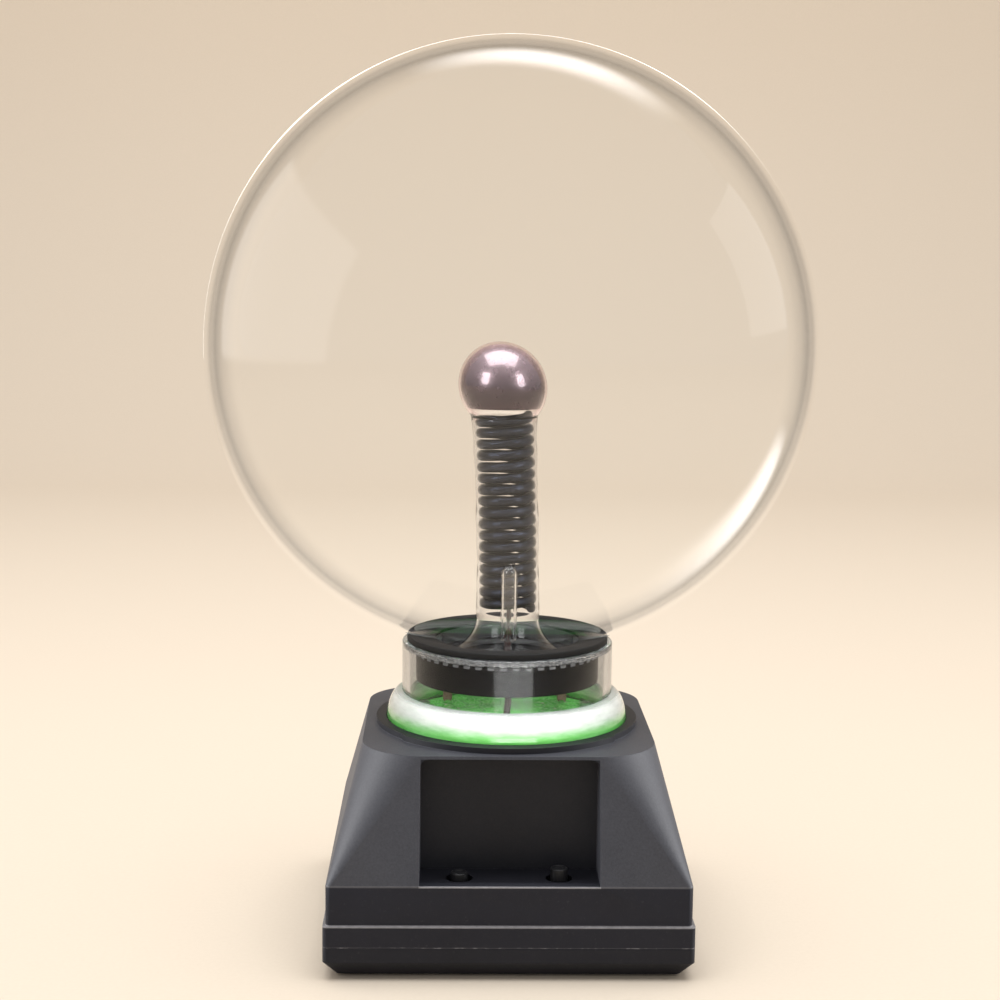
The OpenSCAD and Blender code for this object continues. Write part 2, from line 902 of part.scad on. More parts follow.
module smoothing_capacitors() {
    color([0.12, 0.15, 0.35]) {
        upright_can(-8, -22, capacitor_d, capacitor_h);
        upright_can(6, -23, capacitor_d * 0.8, capacitor_h * 0.75);
    }
}

module film_capacitor() {
    color([0.6, 0.15, 0.1])
        translate([20, -13, board_z - 11])
            box(13, 6, 11);
}

module resistors() {
    color([0.75, 0.65, 0.45])
        for (i = [0 : 3])
            translate([-19 + 4.5 * i, -8, board_z - 1.2])
                rotate([90, 0, 0])
                    cylinder(h = 7, r = 1.2, center = true);
}

module ceramic_capacitors() {
    color([0.45, 0.35, 0.3])
        for (x = [-20.5, 20.5])
            translate([x, 24, board_top_z])
                box(3.4, 2.4, 4);
}

// ---- Switches and buttons ----

module switch_board() {
    color([0.2, 0.6, 0.25])
        difference() {
            translate([0, -button_y, switch_board_z])
                box(switch_board_w, switch_board_d, board_t);
            for (x = [-1, 1])
                translate([x * pillar_x, -button_y, switch_board_z - cut])
                    cylinder(h = board_t + 2 * cut, d = small_screw_d + 2 * screw_gap);
        }
}

module switch_board_screws() {
    color([0.7, 0.7, 0.72])
        for (x = [-1, 1])
            translate([x * pillar_x, -button_y, switch_board_z])
                screw_up(small_screw_d / 2, small_screw_d, 1.4, board_t + 8);
}

// side is -1 on the left and 1 on the right
module switch_body(side) {
    translate([side * button_x, -button_y, switch_board_top_z])
        difference() {
            box(switch_w, switch_w, switch_h);
            translate([0, 0, bore_floor_z - switch_board_top_z])
                cylinder(h = switch_h, r = plunger_r + run_gap);
        }
}

// drop is how far the button stands below its out position
module plunger(side, drop) {
    translate([side * button_x, -button_y, plunger_z - drop])
        cylinder(h = cap_z + 3 - plunger_z, r = plunger_r);
}

module button_cap(side, drop) {
    cap_r = button_d / 2;
    edge = 0.4;
    translate([side * button_x, -button_y, cap_z - drop])
        difference() {
            union() {
                cylinder(h = cap_top_z - cap_z - edge, r = cap_r);
                translate([0, 0, cap_top_z - cap_z - edge])
                    cylinder(h = edge, r1 = cap_r, r2 = cap_r - edge);
            }
            translate([0, 0, -cut])
                cylinder(h = 3 + cut, r = plunger_r);
        }
}

module button_spring(side, drop) {
    low_z = bore_floor_z + spring_wire_r;
    high_z = plunger_z - drop - spring_wire_r;
    translate([side * button_x, -button_y, 0])
        swept_tube(helix(plunger_r - 0.4, low_z, high_z, spring_turns, 12),
            spring_wire_r, [0, 0, 1], 6);
}

module microphone() {
    color([0.6, 0.6, 0.6])
        translate([0, -button_y, switch_board_top_z])
            cylinder(h = 4, r = 3);
}

// ---- Power socket ----

module power_socket() {
    flange_t = 2;
    color([0.08, 0.08, 0.08])
        translate([0, back_y, inlet_z])
            rotate([-90, 0, 0])
                difference() {
                    union() {
                        translate([0, 0, barrel_out - inlet_depth - 2])
                            cylinder(h = inlet_depth + 2, d = barrel_d);
                        translate([0, 0, -wall - flange_t])
                            box(barrel_d + 3, barrel_d + 3, flange_t);
                    }
                    translate([0, 0, barrel_out - inlet_depth])
                        cylinder(h = inlet_depth + cut, d = inlet_bore_d);
                    translate([0, 0, barrel_out - inlet_depth - 2 - cut])
                        cylinder(h = 3, d = inlet_pin_d);
                }
}

module socket_pin() {
    color([0.8, 0.8, 0.75])
        translate([0, back_y, inlet_z])
            rotate([-90, 0, 0])
                translate([0, 0, barrel_out - inlet_depth - 5])
                    cylinder(h = inlet_depth + 4, d = inlet_pin_d);
}

module socket_nut() {
    color([0.65, 0.65, 0.67])
        translate([0, back_y, inlet_z])
            rotate([-90, 0, 0])
                difference() {
                    cylinder(h = nut_t, d = barrel_d * 1.45, $fn = 6);
                    translate([0, 0, -cut])
                        cylinder(h = nut_t + 2 * cut, r = barrel_d / 2 + run_gap);
                }
}

// ---- Leads ----

module socket_leads() {
    color([0.1, 0.1, 0.1])
        for (s = [-1, 1])
            swept_tube(lead_path([
                [s * (inlet_pin_d / 2 + lead_d / 2), inlet_back_y + 1.5, inlet_z],
                [s * socket_lead_x, inlet_back_y - 3, inlet_z + 1],
                [s * socket_lead_x, inlet_back_y - 7, inlet_z + 8],
                [s * socket_lead_x, 35, inlet_z + 24],
                [s * socket_lead_x, 30, board_z - 8],
                [s * socket_lead_x, 30, board_z]
            ], 4), lead_d / 2, [1, 0, 0], 8);
}

module switch_leads() {
    lead_back = switch_board_d / 2 - 1.5;
    color([0.7, 0.1, 0.1])
        for (s = [-1, 1])
            swept_tube(lead_path([
                [s * switch_lead_x, -button_y + lead_back, switch_board_top_z],
                [s * switch_lead_x, -button_y + lead_back, switch_board_top_z + 3],
                [s * switch_lead_x, -pocket_back + 3, switch_board_top_z + 9],
                [s * switch_lead_x, -pocket_back + 7, shelf_z + 4],
                [s * switch_lead_x, -pocket_back + 8, shelf_z + 22],
                [s * switch_lead_x, -pocket_back + 8, board_z - 5],
                [s * switch_lead_x, -pocket_back + 8, board_z]
            ], 4), lead_d / 2, [1, 0, 0], 8);
}

globe();
electrode_stem();
exhaust_nib();
ball_lining();
contact_coil();
lead_sleeve();
high_voltage_lead();
globe_gasket();
neck_socket();
clear_collar();
upper_casing();
bottom_cover();
rubber_feet();
cover_screws();
circuit_board();
board_screws();
flyback_core();
flyback_bobbin();
flyback_winding();
power_transistor();
heat_sink();
transistor_screw();
smoothing_capacitors();
film_capacitor();
resistors();
ceramic_capacitors();
microphone();
switch_board();
switch_board_screws();
color([0.85, 0.85, 0.82]) switch_body(-1);  // left_switch
color([0.85, 0.85, 0.82]) switch_body(1);  // right_switch
color([0.9, 0.9, 0.88]) plunger(-1, latch_drop);  // left_plunger
color([0.9, 0.9, 0.88]) plunger(1, 0);  // right_plunger
color([0.06, 0.06, 0.06]) button_cap(-1, latch_drop);  // left_button
color([0.06, 0.06, 0.06]) button_cap(1, 0);  // right_button
color([0.7, 0.7, 0.72]) button_spring(-1, latch_drop);  // left_spring
color([0.7, 0.7, 0.72]) button_spring(1, 0);  // right_spring
power_socket();
socket_pin();
socket_nut();
socket_leads();
switch_leads();
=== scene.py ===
import math

import bmesh
import bpy
from mathutils import Matrix, Vector


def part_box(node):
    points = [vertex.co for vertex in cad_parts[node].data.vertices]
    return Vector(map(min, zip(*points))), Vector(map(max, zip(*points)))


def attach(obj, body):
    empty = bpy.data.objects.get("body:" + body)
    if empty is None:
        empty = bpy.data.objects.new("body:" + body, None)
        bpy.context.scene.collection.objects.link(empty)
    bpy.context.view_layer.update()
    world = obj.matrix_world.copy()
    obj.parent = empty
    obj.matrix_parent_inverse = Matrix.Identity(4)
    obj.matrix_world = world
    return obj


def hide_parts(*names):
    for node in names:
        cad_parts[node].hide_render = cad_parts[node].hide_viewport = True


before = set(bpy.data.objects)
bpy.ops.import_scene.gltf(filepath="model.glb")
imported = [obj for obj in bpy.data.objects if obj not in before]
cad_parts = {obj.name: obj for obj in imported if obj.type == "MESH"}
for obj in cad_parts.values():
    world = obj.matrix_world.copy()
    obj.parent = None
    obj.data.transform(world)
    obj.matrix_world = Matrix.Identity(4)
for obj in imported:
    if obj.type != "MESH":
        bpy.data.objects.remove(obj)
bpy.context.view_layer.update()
MM = 0.001


# ---- Places read from the frame, and shared sizes --------------------------------------------

def low(node):
    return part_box(node)[0]


def high(node):
    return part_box(node)[1]


def half_width(node):
    return (high(node).x - low(node).x) / 2


GLOBE_R = half_width("globe") - 0.03 * MM
GLOBE_Z = high("globe").z - GLOBE_R - 0.02 * MM
GLOBE_WALL = 1.7 * MM
NECK_R = 24 * MM
NECK_Z = low("globe").z

STEM_R = 10.4 * MM
STEM_WALL = 0.7 * MM
BALL_R = 14.7 * MM
BALL_Z = high("electrode_stem").z - BALL_R
BALL_X = (low("ball_lining").x + high("ball_lining").x) / 2
FLARE_Z = low("electrode_stem").z
FOOT_Z = FLARE_Z + NECK_R - GLOBE_WALL - STEM_R

DECK_Z = low("clear_collar").z
COLLAR_TOP_Z = high("clear_collar").z
COLLAR_FOOT_R = half_width("clear_collar")
COLLAR_R = 35.2 * MM
COLLAR_WALL = 2.6 * MM
SEAT_Z = high("upper_casing").z
SEAM_Z = low("upper_casing").z
BAND_HALF = half_width("upper_casing")

CASING_WALL = 2.2 * MM
BAND_Z = SEAM_Z + 6.9 * MM
SHELF_Z = SEAM_Z + 19.5 * MM
PLINTH_HALF = BAND_HALF - 0.9 * MM
DECK_HALF = 47.2 * MM
POCKET_HALF = 28.25 * MM
POCKET_BACK = 39.4 * MM
BUTTON_X = 15.7 * MM
BUTTON_Y = -48.2 * MM
FOOT_R = 6 * MM
FIT_GAP = 0.06 * MM
SMOOTH_DEG = 32


# ---- Mesh tools ------------------------------------------------------------------------------

def arc(cx, cy, radius, start, end, steps):
    """Points along a round stretch, with the angles in degrees."""
    turn = [math.radians(start + (end - start) * i / steps) for i in range(steps + 1)]
    return [(cx + radius * math.cos(a), cy + radius * math.sin(a)) for a in turn]


def filleted(corners, steps=5):
    """The outline through corners (x, y, radius), each rounded by its radius."""
    points = []
    count = len(corners)
    for i, (x, y, radius) in enumerate(corners):
        here = Vector((x, y))
        before = Vector(corners[i - 1][:2]) - here
        after = Vector(corners[(i + 1) % count][:2]) - here
        if radius <= 0 or before.length == 0 or after.length == 0:
            points.append((x, y))
            continue
        half = before.angle(after) / 2
        reach = min(radius / math.tan(half), before.length / 2, after.length / 2)
        start, end = here + before.normalized() * reach, here + after.normalized() * reach
        for k in range(steps + 1):
            t = k / steps
            p = start * (1 - t) ** 2 + here * 2 * t * (1 - t) + end * t ** 2
            points.append((p.x, p.y))
    return points


def finish_mesh(bm, name, smooth_deg=SMOOTH_DEG):
    """Turns a bmesh into an object with soft shading and crisp edges."""
    bmesh.ops.recalc_face_normals(bm, faces=bm.faces)
    mesh = bpy.data.meshes.new(name)
    bm.to_mesh(mesh)
    bm.free()
    piece = bpy.data.objects.new(name, mesh)
    bpy.context.scene.collection.objects.link(piece)
    shade(mesh, smooth_deg)
    return piece


def shade(mesh, smooth_deg):
    mesh.shade_smooth()
    mesh.set_sharp_from_angle(angle=math.radians(smooth_deg))


def bridge(bm, lower, upper):
    """Faces between two closed rings, either of which may be a single point."""
    count = max(len(lower), len(upper))
    for i in range(count):
        j = (i + 1) % count
        if len(lower) == 1:
            bm.faces.new((lower[0], upper[j], upper[i]))
        elif len(upper) == 1:
            bm.faces.new((lower[i], lower[j], upper[0]))
        else:
            bm.faces.new((lower[i], lower[j], upper[j], upper[i]))


def stacked(name, rings, closed=True):
    """A skin over a list of rings of points; closed joins the last ring to the first."""
    bm = bmesh.new()
    loops = [[bm.verts.new(p) for p in ring] for ring in rings]
    following = loops[1:] + (loops[:1] if closed else [])
    for lower, upper in zip(loops, following):
        bridge(bm, lower, upper)
    return finish_mesh(bm, name)


def turned(name, outline, segments=144, at=(0, 0)):
    """A piece turned about an upright axis from a closed outline of (radius, height) points."""
    turns = [2 * math.pi * k / segments for k in range(segments)]
    rings = []
    for radius, z in outline:
        if radius < 1e-7:
            rings.append([(at[0], at[1], z)])
        else:
            rings.append([(at[0] + radius * math.cos(a), at[1] + radius * math.sin(a), z)
                          for a in turns])
    closed = len(rings[0]) > 1
    return stacked(name, rings, closed)


def extruded(name, outline, low_end, high_end, axis="z"):
    """A prism over an outline, from low_end to high_end along an axis."""
    def place(u, v, w):
        return {"x": (w, u, v), "y": (u, w, v), "z": (u, v, w)}[axis]

    bm = bmesh.new()
    loops = [[bm.verts.new(place(u, v, w)) for u, v in outline] for w in (low_end, high_end)]
    bridge(bm, *loops)
    bm.faces.new(loops[0])
    bm.faces.new(loops[1])
    return finish_mesh(bm, name)


def block(name, low_corner, high_corner):
    (x0, y0, z0), (x1, y1, z1) = low_corner, high_corner
    return extruded(name, [(x0, y0), (x1, y0), (x1, y1), (x0, y1)], z0, z1)


def bake_modifiers(piece, smooth_deg=SMOOTH_DEG):
    """Applies the piece's modifiers to its mesh."""
    graph = bpy.context.evaluated_depsgraph_get()
    graph.update()
    old = piece.data
    piece.data = bpy.data.meshes.new_from_object(piece.evaluated_get(graph))
    piece.modifiers.clear()
    bpy.data.meshes.remove(old)
    shade(piece.data, smooth_deg)


def combine(piece, operation, tools):
    """Cuts the tools from the piece, or joins them to it, and throws the tools away."""
    for tool in tools:
        step = piece.modifiers.new("combine", "BOOLEAN")
        step.operation = operation
        step.solver = "EXACT"
        step.object = tool
    bake_modifiers(piece)
    for tool in tools:
        bpy.data.objects.remove(tool)


def soften_edges(piece, width, from_deg=30):
    """Rounds every edge that is sharper than from_deg, in three steps."""
    bm = bmesh.new()
    bm.from_mesh(piece.data)
    bmesh.ops.remove_doubles(bm, verts=bm.verts, dist=0.002 * MM)
    bmesh.ops.dissolve_limit(
        bm, angle_limit=math.radians(0.5), verts=bm.verts, edges=bm.edges)
    bm.to_mesh(piece.data)
    bm.free()
    step = piece.modifiers.new("soft edges", "BEVEL")
    step.width = width
    step.segments = 3
    step.limit_method = "ANGLE"
    step.angle_limit = math.radians(from_deg)
    step.harden_normals = False
    step.use_clamp_overlap = True
    step.miter_outer = "MITER_ARC"
    bake_modifiers(piece, 40)
    weigh = piece.modifiers.new("even shading", "WEIGHTED_NORMAL")
    weigh.keep_sharp = True


def swept(name, path, radius, sides):
    """A closed round rod along a path of points, whose section doesn't twist as it turns."""
    path = [Vector(p) for p in path]
    bm = bmesh.new()
    loops = []
    side = None
    for i, point in enumerate(path):
        ahead = (path[min(i + 1, len(path) - 1)] - path[max(i - 1, 0)]).normalized()
        if side is None:
            side = ahead.orthogonal().normalized()
        side = (side - ahead * side.dot(ahead)).normalized()
        other = ahead.cross(side)
        turns = [2 * math.pi * k / sides for k in range(sides)]
        loops.append([bm.verts.new(point + radius * (math.cos(a) * side + math.sin(a) * other))
                      for a in turns])
    for lower, upper in zip(loops, loops[1:]):
        bridge(bm, lower, upper)
    bm.faces.new(loops[0])
    bm.faces.new(loops[-1])
    return finish_mesh(bm, name, 60)


def joined(name, pieces):
    """One piece made of several meshes."""
    bm = bmesh.new()
    for piece in pieces:
        bm.from_mesh(piece.data)
        bpy.data.objects.remove(piece)
    return finish_mesh(bm, name, 40)


# ---- Finishes --------------------------------------------------------------------------------

class Value:
    """A shader socket that takes part in Python arithmetic."""

    def __init__(self, finish, socket):
        self.finish = finish
        self.socket = socket

    def _math(self, operation, first, second):
        return self.finish.node("ShaderNodeMath", {"operation": operation}, {0: first, 1: second})

    def __add__(self, other):
        return self._math("ADD", self, other)

    def __sub__(self, other):
        return self._math("SUBTRACT", self, other)

    def __rsub__(self, other):
        return self._math("SUBTRACT", other, self)

    def __mul__(self, other):
        return self._math("MULTIPLY", self, other)

    def __truediv__(self, other):
        return self._math("DIVIDE", self, other)

    def __pow__(self, other):
        return self._math("POWER", self, other)

    def __abs__(self):
        return self._math("ABSOLUTE", self, 0.0)

    __radd__ = __add__
    __rmul__ = __mul__


class Nodes:
    """Short ways to add nodes to a material or a light."""

    def __init__(self, tree):
        self.tree = tree

    def feed(self, socket, value):
        if isinstance(value, Value):
            self.tree.links.new(value.socket, socket)
        else:
            socket.default_value = value

    def node(self, kind, settings=None, inputs=None, output=0):
        """Adds a node: its settings first, then the values or links of its sockets."""
        made = self.tree.nodes.new(kind)
        for name, value in (settings or {}).items():
            if name == "stops":
                self._set_stops(made.color_ramp, value)
            else:
                setattr(made, name, value)
        for socket, value in (inputs or {}).items():
            self.feed(made.inputs[socket], value)
        return Value(self, made.outputs[output])

    @staticmethod
    def _set_stops(ramp, stops):
        while len(ramp.elements) < len(stops):
            ramp.elements.new(0.5)
        for element, (place, colour) in zip(ramp.elements, stops):
            element.position = place
            element.color = (*colour, 1) if isinstance(colour, tuple) else (colour,) * 3 + (1,)

    def rise(self, value, start, end):
        """0 below start, 1 above end, with a smooth rise between."""
        settings = {"interpolation_type": "SMOOTHSTEP"}
        return self.node("ShaderNodeMapRange", settings, {0: value, 1: start, 2: end})


class Finish(Nodes):
    """A material on a Principled shader, with short ways to add what feeds it."""

    def __init__(self, name, colour, roughness, **uniform):
        self.material = bpy.data.materials.new(name)
        self.material.use_nodes = True
        super().__init__(self.material.node_tree)
        self.shader = self.tree.nodes["Principled BSDF"]
        self.output = self.tree.nodes["Material Output"]
        self.set(Base_Color=(*colour, 1), Roughness=roughness, **uniform)

    def set(self, **sockets):
        """Sets the shader's sockets by name, with _ for a space."""
        for name, value in sockets.items():
            self.feed(self.shader.inputs[name.replace("_", " ")], value)

    def place(self, stretch=(1, 1, 1)):
        """The point on the piece, in metres, stretched along its axes."""
        at = self.node("ShaderNodeTexCoord", output="Object")
        return self.node("ShaderNodeMapping", {}, {"Vector": at, "Scale": stretch})

    def noise(self, size, detail=3, stretch=(1, 1, 1)):
        """Noise from 0 to 1 with lumps of about that size, in metres."""
        return self.node("ShaderNodeTexNoise", {}, {
            "Vector": self.place(stretch), "Scale": 1 / size, "Detail": detail})

    def place_axes(self):
        """The three coordinates of the point on the piece, in metres."""
        at = self.node("ShaderNodeTexCoord", output="Object")
        return [self.node("ShaderNodeSeparateXYZ", {}, {0: at}, axis) for axis in "XYZ"]

    def line(self, value, centre, half, soft):
        """1 within half of centre, fading to 0 over soft."""
        return 1 - self.rise(abs(value - centre), half, half + soft)

    def facing_away(self):
        """0 where the surface faces the viewer, 1 at its outline."""
        return self.node("ShaderNodeLayerWeight", {}, {"Blend": 0.5}, "Facing")

    def ramp(self, value, stops):
        return self.node("ShaderNodeValToRGB", {"stops": stops}, {"Fac": value})

    def blend(self, share, first, second):
        """A colour between first and second."""
        first, second = (c if isinstance(c, Value) else (*c, 1) for c in (first, second))
        return self.node("ShaderNodeMix", {"data_type": "RGBA"}, {0: share, 6: first, 7: second}, 2)

    def bump(self, height, depth, strength=1.0):
        return self.node("ShaderNodeBump", {}, {
            "Height": height, "Distance": depth, "Strength": strength})

    def mix_shaders(self, share, first, second):
        return self.node("ShaderNodeMixShader", {}, {0: share, 1: first, 2: second})

    def surface(self, value):
        self.feed(self.output.inputs["Surface"], value)


def scaled(colour, share):
    return tuple(c * share for c in colour)


def moulded_plastic(name, colour, roughness=0.5, grain=0.45 * MM, depth=0.05 * MM, dull=0.25):
    """Moulded plastic with a fine spark-eroded grain, faint flow marks and a little dust."""
    f = Finish(name, colour, roughness, Specular_IOR_Level=dull)
    fine = f.noise(grain, 4)
    broad = f.noise(28 * MM, 3)
    streaks = f.noise(5 * MM, 2, (1, 1, 0.12))
    dust = f.ramp(f.noise(1.1 * MM, 5), [(0.62, 0.0), (0.78, 1.0)])
    tone = f.blend(broad * 0.7 + streaks * 0.3, scaled(colour, 0.72), scaled(colour, 1.35))
    f.set(
        Base_Color=f.blend(dust * 0.1, tone, (0.12, 0.12, 0.12)),
        Roughness=roughness - 0.06 + fine * 0.12 + broad * 0.06,
        Normal=f.bump(fine + broad * 0.2, depth, 0.55),
    )
    return f


def casing_finish(name):
    """Black moulded plastic with painted light and shade: the slopes carry a coarser grain
    and are painted a lighter grey than the plinth as a painted sheen, the pocket and the seat
    ring are darkened as painted shade, and the ledge and the shelf's front edge carry painted
    highlight lines. The joint line is drawn as a lighter broken line."""
    f = moulded_plastic(name, (0.0085, 0.009, 0.0145), 0.5)
    x, y, z = f.place_axes()
    plain = Value(f, f.shader.inputs["Base Color"].links[0].from_socket)
    grain = f.noise(0.7 * MM, 5)
    patches = f.noise(16 * MM, 3, (1, 1, 0.5))
    # Painted sheen: the slopes are painted a lighter grey than the plinth, over a coarser grain.
    slopes = f.rise(z, SHELF_Z - 0.2 * MM, SHELF_Z + 0.4 * MM)
    grey = f.blend(grain * 0.6 + patches * 0.5, (0.021, 0.022, 0.028), (0.06, 0.062, 0.073))
    # Painted shade: the inside of the pocket below its roof, and the seat ring above the deck, are
    # darkened.
    pocket_mid_y, pocket_reach = -46 * MM, 6 * MM
    pocket = f.line(x, 0.0, POCKET_HALF - 0.3 * MM, 0.3 * MM) * \
        f.line(y, pocket_mid_y, pocket_reach, 2 * MM)
    roof = 1 - f.rise(z, DECK_Z - 1.2 * MM, DECK_Z - 0.8 * MM)
    ring = f.rise(z, DECK_Z + 0.02 * MM, DECK_Z + 0.2 * MM)
    tone = f.blend(slopes, plain, grey)
    tone = f.blend(pocket * roof + ring, tone, (0.0075, 0.0078, 0.0115))
    # Painted highlights: lighter lines along the ledge and the shelf's front edge, brightest across
    # the pocket, and a lighter broken line along the joint; noise breaks them up.
    line_breakup = f.noise(2.2 * MM, 4, (1, 1, 3))
    ledge = f.line(z, BAND_Z, 0.2 * MM, 0.25 * MM) * 0.8
    seam = f.line(z, SEAM_Z, 0.25 * MM, 0.2 * MM) * (0.12 + f.rise(line_breakup, 0.5, 0.68) * 0.4)
    shelf_edge_y = -57.3 * MM
    shelf = f.line(z, SHELF_Z, 0.2 * MM, 0.2 * MM) * \
        f.line(y, shelf_edge_y, 0.8 * MM, 0.3 * MM) * \
        (0.25 + f.line(x, 0.0, POCKET_HALF, 0.2 * MM) * 0.75)
    edge_highlights_and_seam_line = ledge + seam + shelf
    f.set(Base_Color=f.blend(edge_highlights_and_seam_line * (0.35 + line_breakup * 0.5), tone, (0.34, 0.33, 0.34)))
    return f


def rubber(name, colour=(0.012, 0.012, 0.013), painted_reflection_below=None):
    """Moulded rubber with a fine grain; it may carry a painted grey reflection below a height."""
    f = Finish(name, colour, 0.7, Specular_IOR_Level=0.35)
    fine = f.noise(0.3 * MM, 4)
    patches = f.noise(9 * MM, 3)
    tone = f.blend(patches, scaled(colour, 0.7), scaled(colour, 1.8))
    if painted_reflection_below:
        # Painted reflection: the rubber is painted grey below the given height, in patches.
        painted_reflection = 1 - f.rise(f.place_axes()[2], painted_reflection_below - 0.1 * MM, painted_reflection_below)
        tone = f.blend(painted_reflection * (0.6 + patches * 0.4), tone, (0.3, 0.3, 0.31))
    f.set(
        Base_Color=tone,
        Roughness=0.55 + patches * 0.25,
        Normal=f.bump(fine, 0.04 * MM, 0.5),
    )
    return f


def thin_glass(name, clear, rim_shade_colour, gloss, mirror):
    """Thin blown glass: what is behind it shows unbent. A painted grey band, painted shade, lies
    just inside its outline. Only its outer skin mirrors, and more so towards the outline."""
    f = Finish(name, clear, gloss)
    facing = f.facing_away()
    x, y, z = f.place_axes()
    h = z - GLOBE_Z
    reach = x * x + y * y + h * h
    outer_skin = f.rise(reach, (GLOBE_R - 1.1 * MM) ** 2, (GLOBE_R - 0.6 * MM) ** 2) * \
        f.rise(z, COLLAR_TOP_Z + 0.3 * MM, COLLAR_TOP_Z + 1.3 * MM)
    inner_face = f.node("ShaderNodeNewGeometry", output="Backfacing")
    # Painted shade: a grey band just inside the outline, in the colour given for it.
    rim_painted_shade = f.ramp(facing, [(0.6, 0.0), (0.72, 0.35), (0.8, 1.0), (0.85, 0.25), (0.9, 0.0)])
    through = f.mix_shaders(
        rim_painted_shade,
        f.node("ShaderNodeBsdfTransparent", {}, {"Color": (*clear, 1)}),
        f.node("ShaderNodeBsdfTransparent", {}, {"Color": (*rim_shade_colour, 1)}),
    )
    waves = f.noise(38 * MM, 2)
    shine = f.node("ShaderNodeBsdfGlossy", {}, {
        "Color": (1, 1, 1, 1), "Roughness": gloss, "Normal": f.bump(waves, 0.03 * MM, 0.06)})
    share = (0.035 + facing ** 6 * mirror) * outer_skin * (1 - inner_face)
    f.surface(f.mix_shaders(share, through, shine))
    return f


def thick_glass(name, clear, edge, gloss=0.02, ior=1.47, shine=1.0, spread=2.5, painted_glow=None,
                tint=None):
    """Clear solid glass or acrylic that bends light. It is painted grey towards its outline, a
    painted shade, and lets the lamps through to what is inside. A shine below 1 dims its
    reflections, and a larger spread narrows the painted grey. A glow function, if given,
    returns the share and the colour of a layer of painted light over the glass, and tint gives
    a height above which the edge takes another colour."""
    f = Finish(name, clear, gloss, Transmission_Weight=1.0, IOR=ior,
               Specular_Tint=(shine, shine, shine, 1))
    faint = f.noise(2.5 * MM, 3)
    if tint:
        tint_z, tint_colour = tint
        edge = f.blend(f.rise(f.place_axes()[2], tint_z, tint_z + 2 * MM), edge, tint_colour)
    # Painted shade: the colour greys towards the outline with the viewing angle.
    f.set(
        Base_Color=f.blend(f.facing_away() ** spread, clear, edge),
        Roughness=gloss + faint * 0.02,
        Normal=f.bump(f.noise(9 * MM, 2), 0.04 * MM, 0.3),
    )
    open_to_lamps = f.node("ShaderNodeBsdfTransparent", {}, {"Color": (*scaled(clear, 0.96), 1)})
    lamp_ray = f.node("ShaderNodeLightPath", output="Is Shadow Ray")
    body = f.mix_shaders(lamp_ray, Value(f, f.shader.outputs[0]), open_to_lamps)
    # Painted light: a lit layer over the glass, coloured and spread by the glow function.
    if painted_glow:
        share, colour = painted_glow(f)
        painted_glow_layer = f.node("ShaderNodeBsdfPrincipled", {}, {
            "Base Color": colour, "Roughness": 0.12, "Coat Weight": 0.5})
        body = f.mix_shaders(share, body, painted_glow_layer)
    f.surface(body)
    return f


def metal(name, colour, roughness=0.3, grain=(1, 1, 1), size=0.6 * MM):
    """Bare or plated metal with drawing or machining marks along the stretched axis."""
    f = Finish(name, colour, roughness, Metallic=1.0)
    marks = f.noise(size, 3, grain)
    stain = f.noise(7 * MM, 3)
    f.set(
        Base_Color=f.blend(stain, scaled(colour, 0.75), scaled(colour, 1.1)),
        Roughness=roughness - 0.08 + marks * 0.16 + stain * 0.08,
        Normal=f.bump(marks, 0.02 * MM, 0.35),
    )
    return f


def solder_mask(name, colour=(0.14, 0.72, 0.12)):
    """Bright green circuit board with darker tracks and small plated pads under the lacquer."""
    f = Finish(name, colour, 0.25, Coat_Weight=0.6, Coat_Roughness=0.08)
    cells = f.node("ShaderNodeTexVoronoi", {"feature": "DISTANCE_TO_EDGE"}, {
        "Vector": f.place(), "Scale": 1 / (7 * MM), "Randomness": 0.8})
    tracks = f.ramp(cells, [(0.06, 1.0), (0.1, 0.0)])
    dots = f.node("ShaderNodeTexVoronoi", {}, {
        "Vector": f.place(), "Scale": 1 / (4.2 * MM), "Randomness": 0.6})
    pads = f.ramp(dots, [(0.14, 1.0), (0.18, 0.0)])
    weave = f.noise(0.5 * MM, 2)
    lacquer = f.blend(weave * 0.5, colour, scaled(colour, 1.35))
    tracked = f.blend(tracks * 0.45, lacquer, (0.04, 0.3, 0.06))
    f.set(
        Base_Color=f.blend(pads * 0.85, tracked, (0.62, 0.6, 0.5)),
        Roughness=0.22 + weave * 0.1,
        Normal=f.bump(tracks * 0.6 + pads, 0.05 * MM, 0.5),
    )
    return f


def speckled(name, colour, roughness, contrast=0.5):
    """A plain finish with a small scatter of lighter and darker grains."""
    f = Finish(name, colour, roughness)
    grains = f.noise(0.8 * MM, 4)
    broad = f.noise(12 * MM, 2)
    f.set(
        Base_Color=f.blend(grains * 0.6 + broad * 0.4, scaled(colour, 1 - contrast),
                           scaled(colour, 1 + contrast)),
        Roughness=roughness - 0.05 + grains * 0.1,
        Normal=f.bump(grains, 0.03 * MM, 0.5),
    )
    return f


def wrapped_tape(name, colour):
    """Insulating tape in level turns, with a fine edge line at each."""
    f = Finish(name, colour, 0.35, Coat_Weight=0.3)
    turns = f.node("ShaderNodeTexWave", {"bands_direction": "Z"}, {
        "Vector": f.place(), "Scale": 1 / (22 * MM), "Distortion": 0.6, "Detail": 1})
    edge = f.ramp(turns, [(0.0, 1.0), (0.12, 0.0)])
    f.set(
        Base_Color=f.blend(edge * 0.6, colour, scaled(colour, 0.45)),
        Roughness=0.3 + edge * 0.25,
        Normal=f.bump(turns, 0.06 * MM, 0.6),
    )
    return f


# ---- Camera, light and floor -----------------------------------------------------------------

CAMERA_AT = (-19.2 * MM, -618 * MM, 228.5 * MM)
CAMERA_YAW, CAMERA_PITCH, CAMERA_ROLL = (math.radians(a) for a in (1.5, 7.8, 0.68))
CAMERA_LENS = 67.57


